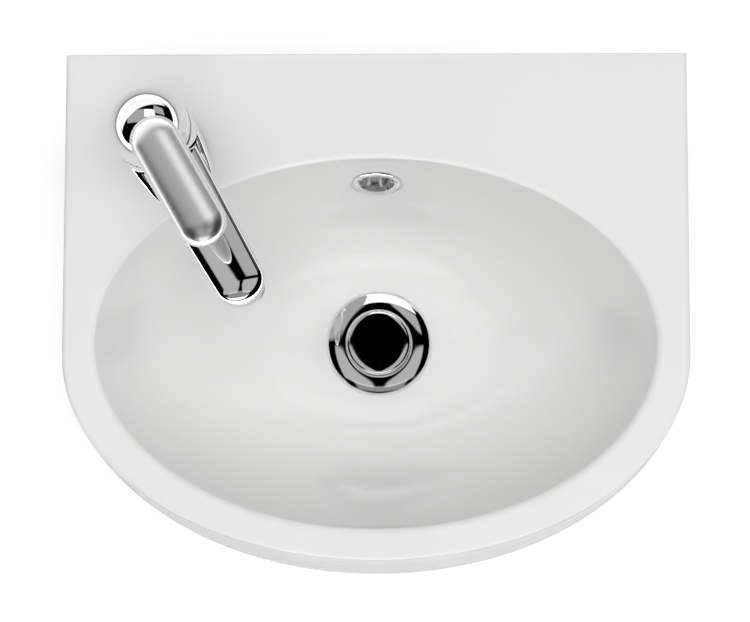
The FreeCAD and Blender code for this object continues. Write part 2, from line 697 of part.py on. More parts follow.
def click_mechanism():
    low = "-barrel_top - barrel_length"
    bore = "barrel_radius - barrel_wall"
    ceiling = "-barrel_top - barrel_roof"
    guide = "stem_radius + slide_clearance"
    collar_top = "-hub_top + barrel_collar_height"
    finish(turned("barrel", [
        (bore, low), ("barrel_radius", low), ("barrel_radius", "-hub_top"), ("barrel_collar_radius", "-hub_top"),
        ("barrel_collar_radius", collar_top), ("barrel_radius", collar_top), ("barrel_radius", "-barrel_top"),
        (guide, "-barrel_top"), (guide, ceiling), (bore, ceiling)]), "click_barrel", "waste")
    cap_top = f"{low} + end_cap_height"
    cap_radius = f"{bore} - thread_clearance"
    finish(turned("end_cap", [("0", low), (cap_radius, low), (cap_radius, cap_top), ("0", cap_top)]),
           "click_end_cap", "waste")
    piston_top = f"{ceiling} - slide_clearance"
    piston_low = f"{piston_top} - piston_height"
    piston = f"{bore} - slide_clearance"
    open_height = "plug_closed_height + plug_travel"
    finish(turned("stem", [
        ("0", piston_low), (piston, piston_low), (piston, piston_top), ("stem_radius", piston_top),
        ("stem_radius", open_height), ("0", open_height)]), "plug_stem", "waste")
    spring_low = f"{cap_top} + spring_wire_radius"
    spring_height = f"({piston_low}) - ({cap_top}) - 2 * spring_wire_radius"
    coil_radius = f"{piston} - spring_wire_radius - slide_clearance"
    helix = document.addObject("Part::Helix", "spring_line")
    helix.SegmentLength = 1
    bind(helix, {"Radius": coil_radius, "Height": spring_height,
                 "Pitch": f"({spring_height}) / spring_turns"})
    wire = document.addObject("Part::Circle", "spring_wire")
    bind(wire, {"Radius": "spring_wire_radius"})
    wire.Placement.Rotation = FreeCAD.Rotation(FreeCAD.Vector(1, 0, 0), 90)
    move(wire, coil_radius)
    document.recompute()
    spring = document.addObject("Part::Sweep", "spring")
    spring.Sections = [wire]
    spring.Spine = (helix, [f"Edge{index + 1}" for index in range(len(helix.Shape.Edges))])
    spring.Solid = True
    spring.Frenet = True
    finish(spring, "click_spring", "waste")
    bind(spring, {"Placement.Base.z": f"rim_above_fixings - bowl_depth + ({spring_low})"})


def plug():
    low = "plug_closed_height + plug_travel"
    bore = "stem_radius + thread_clearance"
    boss_low = f"{low} - plug_boss_height"
    shoulder = f"{low} + plug_edge_height"
    crown = f"{shoulder} + plug_shoulder_rise"
    crown_radius = "plug_radius - plug_shoulder_width"
    dome_radius = f"(({crown_radius}) ^ 2 + plug_dome_rise ^ 2) / (2 * plug_dome_rise)"
    finish(turned("button", [
        ("0", low), (bore, low), (bore, boss_low), ("plug_boss_radius", boss_low), ("plug_boss_radius", low),
        ("plug_radius", low), ("plug_radius", shoulder, "plug_shoulder_radius"),
        (crown_radius, crown, dome_radius), ("0", f"{crown} + plug_dome_rise")]), "plug_cap", "waste")
    button_seal = ring("button_seal", "plug_seal_radius", "plug_boss_radius + slide_clearance",
                       f"{low} - plug_seal_thickness", low)
    finish(button_seal, "plug_seal", "waste")


def spout_form():
    """The spout: a tapering plan with a round end, between a sloping top and an underside that rises
    to a flat tip."""
    height = "pivot_height"
    tip = "spout_reach + spout_tip_half_width"
    plan = slab("spout_plan", "XY_Plane", [
        ("0", "-spout_root_half_width"), ("spout_reach", "-spout_tip_half_width", "spout_tip_half_width"),
        (tip, "0", "spout_tip_half_width"), ("spout_reach", "spout_tip_half_width"),
        ("0", "spout_root_half_width")], "0", height)
    over = f"{tip} + spout_edge_radius"
    side = slab("spout_side", "XZ_Plane", [
        ("-spout_edge_radius", "spout_root_bottom"), ("spout_root_ahead", "spout_root_bottom"),
        ("spout_reach - spout_flat_length", "spout_tip_bottom"), (over, "spout_tip_bottom"),
        (over, "spout_tip_top"), ("-spout_edge_radius", "spout_root_top")],
        "-2 * spout_root_half_width", "4 * spout_root_half_width")
    return rounded("spout", common("spout_block", plan, side), "spout_edge_radius", lambda edge: (
        edge.BoundBox.XMax > 1 and edge.BoundBox.XLength > 1))


def ports(name, low, high, grow="0"):
    """The two inlet holes and the outlet hole under the cartridge."""
    made = []
    for index, side in enumerate((-1, 1)):
        made.append(rod(f"{name}_inlet{index}", f"disc_port_radius + {grow}", low, high, "-inlet_back",
                        f"{side} * inlet_side"))
    return made + [rod(f"{name}_outlet", f"outlet_radius + {grow}", low, high, "outlet_ahead")]


def tap_body():
    top = "pivot_height + collar_rise"
    floor = "pivot_height - cartridge_depth"
    shoulder = "pivot_height - cartridge_shoulder"
    nut_top = f"{shoulder} + cartridge_nut_height"
    spigot_low = "-spigot_length"
    inlet_top = f"{spigot_low} + inlet_length"
    chamber_low = "spout_tip_bottom - aerator_drop"
    chamber_top = f"{chamber_low} + aerator_height + aerator_seal_thickness"
    solid = join("tap_casting", [
        rod("tap_barrel", "body_radius", "base_gasket_thickness", top),
        rod("tap_spigot", "tap_hole_radius - spigot_clearance", spigot_low, "2 * base_gasket_thickness"),
        spout_form()])
    hollows = [
        rod("collar_bore", "collar_bore_radius", nut_top, f"{top} + collar_rise"),
        rod("nut_thread", "cartridge_neck_radius + cartridge_clearance + cartridge_nut_wall + thread_clearance",
            shoulder, top),
        rod("cartridge_bore", "cartridge_radius + cartridge_clearance", floor, top),
        rod("outlet_way", "outlet_radius", "spout_bore_height - spout_bore_radius / 2", top, "outlet_ahead"),
        lying("spout_way", "spout_bore_radius", "outlet_ahead", "spout_reach",
              "spout_bore_height"),
        rod("aerator_chamber", "aerator_radius + aerator_clearance", "0", chamber_top, "spout_reach"),
        rod("stud_thread", "stud_radius + thread_clearance", f"2 * {spigot_low}", "stud_engaged", "stud_ahead")]
    for index, side in enumerate((-1, 1)):
        across = f"{side} * inlet_side"
        hollows.append(rod(f"inlet_thread{index}", "inlet_radius", f"2 * {spigot_low}", inlet_top,
                           "-inlet_back", across))
        hollows.append(rod(f"inlet_way{index}", "waterway_radius", spigot_low, top, "-inlet_back", across))
    edge_height = number(top)
    finished = rounded("tap_shell", cut("tap_bored", solid, hollows), "body_edge_radius", lambda edge: (
        abs(edge.BoundBox.ZMin - edge_height) + abs(edge.BoundBox.ZMax - edge_height) < 0.01
        and edge.BoundBox.XMax > number("collar_bore_radius + body_radius") / 2))
    finish(finished, "tap_body", "tap")


def tap_clamp():
    gasket = "body_radius - spigot_clearance / 2"
    finish(ring("base_gasket", gasket, f"{gasket} - base_gasket_width", "0", "base_gasket_thickness"),
           "tap_base_gasket", "tap")
    stud_low = "-ledge_thickness - stud_below_ledge"
    stud = rod("stud_rod", "stud_radius", stud_low, "stud_engaged", "stud_ahead")
    finish(chamfered("stud", stud, "edge_break"), "mounting_stud", "tap")
    height = "-ledge_thickness"
    for name, label, thickness in (("rubber_horseshoe", "horseshoe_rubber", "rubber_washer_thickness"),
                                   ("steel_horseshoe", "clamp_washer", "clamp_washer_thickness")):
        low = f"{height} - {thickness}"
        gap = block(name + "_gap", ("-2 * horseshoe_radius", "horseshoe_edge"),
                    ("-horseshoe_half_gap", "horseshoe_half_gap"), (low, height))
        hole = rod(name + "_hole", "stud_radius + seal_clearance", low, height, "stud_ahead")
        finish(cut(name, rod(name + "_disc", "horseshoe_radius", low, height), [gap, hole]), label, "tap")
        height = low
    nut_low = f"{height} - stud_nut_height"
    blank = hex_bar("stud_nut_blank", "stud_nut_radius", nut_low, height, "stud_ahead")
    thread = rod("stud_nut_thread", "stud_radius + thread_clearance", nut_low, height, "stud_ahead")
    finish(cut("stud_nut", blank, [thread]), "mounting_nut", "tap")


def aerator():
    low = "spout_tip_bottom - aerator_drop"
    high = f"{low} + aerator_height"
    bore = "aerator_radius - aerator_wall"
    finish(turned("aerator_cup", [
        (f"{bore} - aerator_lip", low), ("aerator_radius", low), ("aerator_radius", high), (bore, high),
        (bore, f"{low} + aerator_lip"), (f"{bore} - aerator_lip", f"{low} + aerator_lip")]),
        "aerator_housing", "aerator")
    insert_low = f"{low} + aerator_lip"
    jets = []
    for column in range(-2, 3):
        for row in range(max(-2, -2 - column), min(2, 2 - column) + 1):
            jets.append(rod(f"jet_{len(jets)}", "jet_radius", insert_low, high,
                            f"jet_pitch * {column + row / 2}", f"jet_pitch * {row * math.sqrt(0.75):.6f}"))
    disc = rod("aerator_disc", f"{bore} - aerator_clearance", insert_low, high)
    finish(cut("aerator_core", disc, jets), "aerator_insert", "aerator")
    finish(ring("aerator_washer", "aerator_radius", "aerator_radius - aerator_seal_width", high,
                f"{high} + aerator_seal_thickness"), "aerator_seal", "aerator")


def cartridge():
    floor = "pivot_height - cartridge_depth"
    flange = f"{floor} + cartridge_base_height"
    shoulder = "pivot_height - cartridge_shoulder"
    roof = "pivot_height - housing_top"
    disc_top = "pivot_height - fixed_disc_top"
    disc_low = f"{disc_top} - fixed_disc_height"
    inner = "cartridge_bore_radius - cartridge_clearance"
    seal_top = f"{floor} + port_seal_thickness"
    base = join("cartridge_base_blank", [rod("base_flange", "cartridge_radius", floor, flange),
                                         rod("base_spigot", inner, floor, disc_low)])
    finish(cut("cartridge_base_cut", base, ports("base", floor, disc_low)
               + ports("base_groove", floor, seal_top, "port_seal_width")), "cartridge_base", "tap")
    rings = []
    for index, rim in enumerate(ports("seal_rim", floor, seal_top, "port_seal_width")):
        rings.append(cut(f"port_seal{index}", rim, [ports(f"seal_hole{index}_", floor, seal_top)[index]]))
    finish(join("port_seal_set", rings), "port_seals", "tap")
    neck = "turret_neck_radius + turret_clearance"
    finish(turned("housing", [
        ("cartridge_bore_radius", flange), ("cartridge_radius", flange), ("cartridge_radius", shoulder),
        ("cartridge_neck_radius", shoulder), ("cartridge_neck_radius", roof), (neck, roof),
        (neck, f"{roof} - housing_roof"), ("cartridge_bore_radius", f"{roof} - housing_roof")]),
        "cartridge_housing", "tap")
    nut_bore = "cartridge_neck_radius + cartridge_clearance"
    nut = ring("nut", f"{nut_bore} + cartridge_nut_wall", nut_bore, shoulder,
               f"{shoulder} + cartridge_nut_height")
    finish(nut, "cartridge_nut", "tap")
    fixed = rod("fixed_disc_blank", inner, disc_low, disc_top)
    finish(cut("fixed_disc_cut", fixed, ports("disc", disc_low, disc_top)), "fixed_disc", "tap")
    moving_low = f"{disc_top} + disc_gap"
    moving_top = f"{moving_low} + moving_disc_height"
    carrier_top = f"{moving_top} + carrier_height"
    recess = rod("mixing_recess", "mixing_recess_radius", moving_low, f"{moving_low} + mixing_recess_depth",
                 "-moving_disc_offset")
    moving = rod("moving_disc_blank", "moving_disc_radius", moving_low, moving_top, "-moving_disc_offset")
    finish(cut("moving_disc_cut", moving, [recess]), "moving_disc", "tap")
    pocket = block("carrier_pocket", ("-tip_radius - tip_swing", "tip_radius + tip_swing"),
                   ("-tip_radius - tip_slack", "tip_radius + tip_slack"),
                   (f"{carrier_top} - carrier_pocket_depth", carrier_top))
    carrier = rod("carrier_blank", "moving_disc_radius", moving_top, carrier_top, "-moving_disc_offset")
    finish(cut("carrier_cut", carrier, [pocket]), "disc_carrier", "tap")
    turret_low = f"{carrier_top} + turret_gap"
    turret_top = "pivot_height + turret_top"
    turret = join("turret_blank", [
        rod("turret_flange", "cartridge_bore_radius - turret_clearance", turret_low,
            f"{turret_low} + turret_flange_height"),
        rod("turret_neck", "turret_neck_radius", turret_low, turret_top)])
    slot = block("turret_slot", ("-turret_slot_back", "turret_slot_front"),
                 ("-spindle_radius - tip_slack", "spindle_radius + tip_slack"), (turret_low, turret_top))
    pin_hole = "pivot_pin_radius + pivot_pin_clearance"
    turret_way = crosswise("turret_pin_way", pin_hole, "cartridge_radius", "pivot_height")
    finish(cut("turret_cut", turret, [slot, turret_way]), "turret", "tap")
    pin = crosswise("pivot_pin_rod", "pivot_pin_radius", "turret_neck_radius - edge_break", "pivot_height")
    finish(chamfered("pivot_pin_body", pin, "edge_break"), "pivot_pin", "tap")
    tip_low = f"{carrier_top} - carrier_pocket_depth + tip_floor_gap"
    spindle = join("spindle_blank", [
        rod("spindle_tip", "tip_radius", tip_low, "pivot_height"),
        rod("spindle_shaft", "spindle_radius", f"{turret_low} + turret_flange_height",
            "pivot_height + spindle_rise")])
    spindle_way = crosswise("spindle_pin_way", pin_hole, "cartridge_radius", "pivot_height")
    finish(cut("spindle_cut", spindle, [spindle_way]), "spindle", "tap")


def slanting(name, radius, start, end):
    """A cylinder on the grub screw's line, between two distances from the spindle's axis."""
    made = document.addObject("Part::Cylinder", name)
    bind(made, {"Radius": radius, "Height": f"({end}) - ({start})"})
    turn(made, (0, 1, 0), "90 + grub_tilt")
    return move(made, f"({start}) * cos(grub_tilt)", "0",
                f"pivot_height + grub_height - ({start}) * sin(grub_tilt)")


def finger_form():
    """The lever's finger: a plan with two round ends between a sloping underside and a sloping top."""
    back = "lever_start + lever_half_width"
    front = "lever_end - lever_half_width"
    side = "lever_half_width"
    plan = slab("finger_plan", "XY_Plane", [
        (back, f"-{side}"), (front, f"-{side}", side), ("lever_end", "0", side), (front, side),
        (back, side, side), ("lever_start", "0", side)], "pivot_height", "2 * lever_front_top")
    over = "lever_edge_radius / (lever_end - lever_start)"
    rises = {}
    for face in ("bottom", "top"):
        climb = f"(lever_front_{face} - lever_back_{face})"
        rises[face] = (f"pivot_height + lever_back_{face} - {climb} * {over}",
                       f"pivot_height + lever_front_{face} + {climb} * {over}")
    start = "lever_start - lever_edge_radius"
    end = "lever_end + lever_edge_radius"
    profile = slab("finger_side", "XZ_Plane", [
        (start, rises["bottom"][0]), (end, rises["bottom"][1]), (end, rises["top"][1]), (start, rises["top"][0])],
        "-2 * lever_half_width", "4 * lever_half_width")
    return rounded("finger", common("finger_block", plan, profile), "lever_edge_radius", lambda edge: (
        edge.BoundBox.XLength + edge.BoundBox.YLength > 1))


def lever():
    inner = "ball_radius - ball_wall"
    solid = join("lever_blank", [ball("lever_ball", "ball_radius", "pivot_height"), finger_form()])
    span = "(2 * ball_radius)"
    below = document.addObject("Part::Box", "below_skirt")
    bind(below, {"Length": f"2 * {span}", "Width": f"2 * {span}", "Height": span})
    turn(below, (0, 1, 0), "skirt_tilt")
    move(below, f"-{span} * (cos(skirt_tilt) + sin(skirt_tilt))", f"-{span}",
         f"pivot_height - skirt_drop + {span} * (sin(skirt_tilt) - cos(skirt_tilt))")
    shell = cut("lever_shell", solid, [ball("lever_hollow", inner, "pivot_height"), below])
    boss = rod("lever_boss", "lever_boss_radius", "pivot_height + lever_boss_bottom",
               "pivot_height + ball_radius - ball_wall / 2")
    face = "(grub_height * sin(grub_tilt) + sqrt(ball_radius ^ 2 - (grub_height * cos(grub_tilt)) ^ 2))"
    socket = rod("spindle_socket", "spindle_radius + thread_clearance", "pivot_height",
                 "pivot_height + spindle_rise")
    midway = "(lever_boss_radius + ball_radius) / 2"
    thread = slanting("grub_thread", "grub_radius + thread_clearance", "0", midway)
    access = slanting("index_hole", "index_radius + thread_clearance", midway, f"{face} + index_length")
    handle = join("lever_solid", [shell, boss])
    finish(cut("lever_cut", handle, [socket, thread, access]), "lever_handle", "tap")
    contact = "spindle_radius / cos(grub_tilt) + grub_radius * tan(grub_tilt)"
    grub = slanting("grub_rod", "grub_radius", contact, f"{contact} + grub_length")
    finish(chamfered("grub", grub, "edge_break"), "lever_grub_screw", "tap")
    index = slanting("index_rod", "index_radius", f"{face} - index_sink - index_length", f"{face} - index_sink")
    finish(chamfered("index", index, "edge_break"), "index_plug", "tap")


def write():
    document.recompute()
    failed = [item.Name for item in document.Objects if "Invalid" in item.State or "Error" in item.State]
    if failed:
        raise RuntimeError("failed objects: " + ", ".join(failed))
    for item in pieces:
        if item.Shape.isNull() or not item.Shape.isValid() or not item.Shape.Solids:
            raise RuntimeError("bad shape: " + item.Label)
    os.makedirs("parts", exist_ok=True)
    for item in pieces:
        item.Shape.exportStep(f"parts/{item.Label}.step")
        print(f"{item.Label}: {len(item.Shape.Solids)} solid, {item.Shape.Volume / 1000:.3f} cm3")


basin()
overflow_trim()
waste()
click_mechanism()
plug()
tap_body()
tap_clamp()
aerator()
cartridge()
lever()
write()
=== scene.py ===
import json
import math

import bmesh
import bpy
import numpy as np
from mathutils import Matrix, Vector


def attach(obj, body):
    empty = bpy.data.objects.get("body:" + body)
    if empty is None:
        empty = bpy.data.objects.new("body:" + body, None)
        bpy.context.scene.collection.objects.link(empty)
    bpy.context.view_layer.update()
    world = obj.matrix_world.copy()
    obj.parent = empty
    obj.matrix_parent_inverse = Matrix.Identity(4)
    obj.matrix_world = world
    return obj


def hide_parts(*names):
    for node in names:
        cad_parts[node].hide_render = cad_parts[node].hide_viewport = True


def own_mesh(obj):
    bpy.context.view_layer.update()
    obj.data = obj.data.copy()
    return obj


# Wall-hung hand basin with a side tap and a click waste, seen from above as a studio shot.
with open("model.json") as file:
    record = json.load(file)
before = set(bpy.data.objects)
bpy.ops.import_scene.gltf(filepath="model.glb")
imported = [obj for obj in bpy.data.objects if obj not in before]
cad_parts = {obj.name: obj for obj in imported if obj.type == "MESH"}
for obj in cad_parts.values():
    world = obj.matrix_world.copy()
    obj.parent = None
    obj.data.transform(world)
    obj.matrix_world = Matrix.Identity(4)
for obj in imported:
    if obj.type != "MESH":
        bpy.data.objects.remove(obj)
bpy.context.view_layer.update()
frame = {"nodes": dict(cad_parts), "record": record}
nodes = frame["nodes"]
mm = 0.001


# small tools for grids

def gridFaces(rows, cols, wrapRows, wrapCols, start):
    # quads between neighbouring rows and columns, wrapped round where the grid closes on itself
    r, c = np.meshgrid(np.arange(rows if wrapRows else rows - 1),
                       np.arange(cols if wrapCols else cols - 1), indexing="ij")
    rNext, cNext = (r + 1) % rows, (c + 1) % cols
    quads = np.stack([r * cols + c, r * cols + cNext, rNext * cols + cNext, rNext * cols + c], axis=-1)
    return quads.reshape(-1, 4) + start


def gridMesh(name, grids):
    # each grid is (points[rows, cols, 3] in mm, wrapRows, wrapCols); poles and seams are merged
    points, faces, start = [], [], 0
    for grid, wrapRows, wrapCols in grids:
        rows, cols = grid.shape[:2]
        points.append(grid.reshape(-1, 3))
        faces.append(gridFaces(rows, cols, wrapRows, wrapCols, start))
        start += rows * cols
    points, faces = np.concatenate(points) * mm, np.concatenate(faces)
    mesh = bpy.data.meshes.new(name)
    mesh.vertices.add(len(points))
    mesh.vertices.foreach_set("co", points.astype(np.float32).ravel())
    mesh.loops.add(faces.size)
    mesh.loops.foreach_set("vertex_index", faces.astype(np.int32).ravel())
    mesh.polygons.add(len(faces))
    mesh.polygons.foreach_set("loop_start", np.arange(0, faces.size, 4, dtype=np.int32))
    mesh.update(calc_edges=True)
    soup = bmesh.new()
    soup.from_mesh(mesh)
    bmesh.ops.remove_doubles(soup, verts=soup.verts, dist=2e-6)
    bmesh.ops.recalc_face_normals(soup, faces=soup.faces)
    soup.to_mesh(mesh)
    soup.free()
    return mesh


def addPiece(name, grids):
    piece = bpy.data.objects.new(name, gridMesh(name, grids))
    bpy.context.scene.collection.objects.link(piece)
    return piece


def carve(piece, tool, operation="DIFFERENCE"):
    # one boolean step, worked out now; the tool is used up
    step = piece.modifiers.new("carve", "BOOLEAN")
    step.operation, step.solver, step.object = operation, "EXACT", tool
    bpy.context.view_layer.update()
    done = bpy.data.meshes.new_from_object(piece.evaluated_get(bpy.context.evaluated_depsgraph_get()))
    piece.modifiers.remove(step)
    old = piece.data
    piece.data = done
    bpy.data.meshes.remove(old)
    bpy.data.objects.remove(tool)


def carveGrid(piece, name, grid, operation="DIFFERENCE"):
    carve(piece, addPiece(name, [grid]), operation)


def smoothOver(piece, angle):
    # smooth shading with creases where faces meet at more than the angle
    piece.data.polygons.foreach_set("use_smooth", np.ones(len(piece.data.polygons), dtype=bool))
    piece.data.set_sharp_from_angle(angle=math.radians(angle))


def settle(piece, body, slot, *replaced):
    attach(piece, body)
    if replaced:
        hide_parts(*replaced)


def cornerArc(start, corner, end, k, weight):
    # rational quadratic arc between two tangent points, pulled to the corner by its weight
    low, mid, high = (1 - k) ** 2, 2 * k * (1 - k) * weight, k ** 2
    return (low * start + mid * corner + high * end) / (low + mid + high)


def roundedPath(corners, radii, steps=7):
    # a closed polygon in the plane whose corners are circular arcs of the given radii
    corners, radii = np.asarray(corners, float), np.asarray(radii, float)
    before = np.roll(corners, 1, axis=0) - corners
    after = np.roll(corners, -1, axis=0) - corners
    sizeBefore, sizeAfter = np.linalg.norm(before, axis=1), np.linalg.norm(after, axis=1)
    a, b = before / sizeBefore[:, None], after / sizeAfter[:, None]
    half = np.arccos(np.clip((a * b).sum(1), -1, 1)) / 2
    reach = np.minimum(radii / np.tan(half), 0.49 * np.minimum(sizeBefore, sizeAfter))[:, None]
    k = np.linspace(0, 1, steps)[None, :, None]
    start, end = (corners + a * reach)[:, None], (corners + b * reach)[:, None]
    return cornerArc(start, corners[:, None], end, k, np.sin(half)[:, None, None]).reshape(-1, 2)


def turnedGrid(profile, cols=128, centre=(0, 0, 0)):
    # a closed profile of radius and height carried round the vertical axis
    angle = np.linspace(0, 2 * np.pi, cols, endpoint=False)[None, :]
    r, z = profile[:, 0][:, None], profile[:, 1][:, None]
    grid = np.stack([r * np.cos(angle), r * np.sin(angle), z + 0 * angle], axis=-1) + np.asarray(centre, float)
    return grid, True, True


def rodGrid(radius, low, high, cols=64, at=(0, 0)):
    # an upright closed cylinder
    profile = np.array([(0, low), (radius, low), (radius, high), (0, high)])
    grid, _, _ = turnedGrid(profile, cols, (*at, 0))
    return grid, False, True


def ballPoints(radius, polar, angle, height=0.0):
    # points on a ball by their angle from the top and their angle round
    return np.stack([radius * np.sin(polar) * np.cos(angle), radius * np.sin(polar) * np.sin(angle),
                     height + radius * np.cos(polar) + 0 * angle], axis=-1)


def tubeAlong(line, side, up, radius, cols):
    # a round section carried along a line by its two cross directions, drawn together at both ends
    angle = np.linspace(0, 2 * np.pi, cols, endpoint=False)[None, :, None]
    ring = line[:, None] + radius * (np.cos(angle) * side[:, None] + np.sin(angle) * up[:, None])
    first, last = (np.repeat(line[i][None, None], cols, axis=1) for i in (0, -1))
    return np.concatenate([first, ring, last]), False, True


def boxGrid(low, high):
    # a box as four rings of four corners, with its two ends drawn together at their middles
    (x0, y0, z0), (x1, y1, z1) = low, high
    ring = np.array([(x0, y0), (x1, y0), (x1, y1), (x0, y1)])
    middle = np.repeat(ring.mean(0)[None], 4, axis=0)
    rings = [(middle, z0), (ring, z0), (ring, z1), (middle, z1)]
    return np.stack([np.column_stack([xy, np.full(4, z)]) for xy, z in rings]), False, True


def cubicThrough(knots, values, at):
    # natural cubic spline through the knots, all value columns at once
    knots, values = np.asarray(knots, float), np.asarray(values, float)
    h = np.diff(knots)
    n = len(knots)
    system, right = np.eye(n), np.zeros_like(values)
    for i in range(1, n - 1):
        system[i, i - 1:i + 2] = h[i - 1], 2 * (h[i - 1] + h[i]), h[i]
        right[i] = 6 * ((values[i + 1] - values[i]) / h[i] - (values[i] - values[i - 1]) / h[i - 1])
    bend = np.linalg.solve(system, right)
    k = np.clip(np.searchsorted(knots, at) - 1, 0, n - 2)
    a, b = ((knots[k + 1] - at) / h[k])[:, None], ((at - knots[k]) / h[k])[:, None]
    curve = (a ** 3 - a) * bend[k] + (b ** 3 - b) * bend[k + 1]
    return a * values[k] + b * values[k + 1] + curve * (h[k] ** 2)[:, None] / 6


# basin: sizes in mm, z = 0 at the wall fixings

basinSizes = {
    "rimHeight": 60.0, "halfWidth": 180.0, "sideStraight": 175.0,
    "rimEdge": 2.5, "backEdge": 0.8, "cornerDrop": 1.4,
    "bowlHalfWidth": 162.0, "bowlHalfDepth": 106.75, "bowlFromWall": 167.5, "bowlDepth": 105.0,
    "setback": 6.4,  # how far the drain lies behind the bowl's middle
    "bowlEdge": 4.0, "wall": 11.0, "floor": 12.0, "floorShare": 0.42, "apronFrom": 4.0,
    "recessRadius": 32.5, "recessEdge": 0.5, "drainRadius": 23.0, "drainEdge": 0.8, "height": 130.0,
    "levels": [(0, 180, 116.7), (11, 180, 120.85), (22, 180, 125), (50.08, 169.44, 114.47), (84.64, 144.36, 99.89),
               (111.64, 104.76, 78.02), (130, 48, 44)],  # drop below the rim, half width, bulge of the front
    "columns": (64, 44, 140), "wallRows": 44, "ledgeRows": 9, "underRows": 44,
    "niche": ((-164, -167.5, -200), (164, -16, 44)), "plateDrop": 95.0,
    "underPlate": (190.0, -210.0, 8.0),  # half width, low end, back end of the cut below the plate
    "footRadius": 48.0, "fixing": (100.0, 7.0, 40.0),  # from the middle, radius, half the drill's length
    "tapHole": (-118.0, -59.5, 17.5, 20.0, 90.0),  # place, radius, and the drill's two ends
    "overflowDrop": 38.0, "overflowHole": (12.0, 15.0), "overflowSeat": (16.1, 0.8),  # radius, depth
    "overflowBoss": (18.0, 21.0, 4.0), "drillAbove": 20.0,
    "duct": (7.0, 5.0, 21.0, 12.7, 20.0, 12.0),  # bore, wall, lean, way behind the face, bend, way below the seat
}


def basinOutline(halfWidth, bulge):
    # level outline: straight back, straight sides, half an ellipse in front; with the outward normal of each column
    s = basinSizes
    back, side, front = s["columns"]
    t = np.linspace(0, 1, back, endpoint=False)
    u = np.linspace(0, 1, side, endpoint=False)
    v = np.pi + np.linspace(0, 1, front + 1)[:-1] * np.pi
    w, straight = halfWidth, s["sideStraight"]
    x = np.concatenate([w - 2 * w * t, np.full(side, -w), w * np.cos(v), np.full(side, w)])
    y = np.concatenate([np.zeros(back), -straight * u, -straight + bulge * np.sin(v), -straight + straight * u])
    nx = np.concatenate([np.zeros(back), np.full(side, -1.0), np.cos(v) / w, np.full(side, 1.0)])
    ny = np.concatenate([np.ones(back), np.zeros(side), np.sin(v) / bulge, np.zeros(side)])
    length = np.hypot(nx, ny)
    return np.column_stack([x, y]), np.column_stack([nx / length, ny / length])


def bowlPoint(share, theta):
    # bowl surface: level ellipses shrink by the share, depth grows as one minus its fourth power,
    # and their centres drift to the drain
    s = basinSizes
    sunk = 1 - share ** 4
    return np.stack([s["bowlHalfWidth"] * share * np.cos(theta),
                     -s["bowlFromWall"] + s["setback"] * sunk + s["bowlHalfDepth"] * share * np.sin(theta),
                     s["rimHeight"] - s["bowlDepth"] * sunk + 0 * theta], axis=-1)


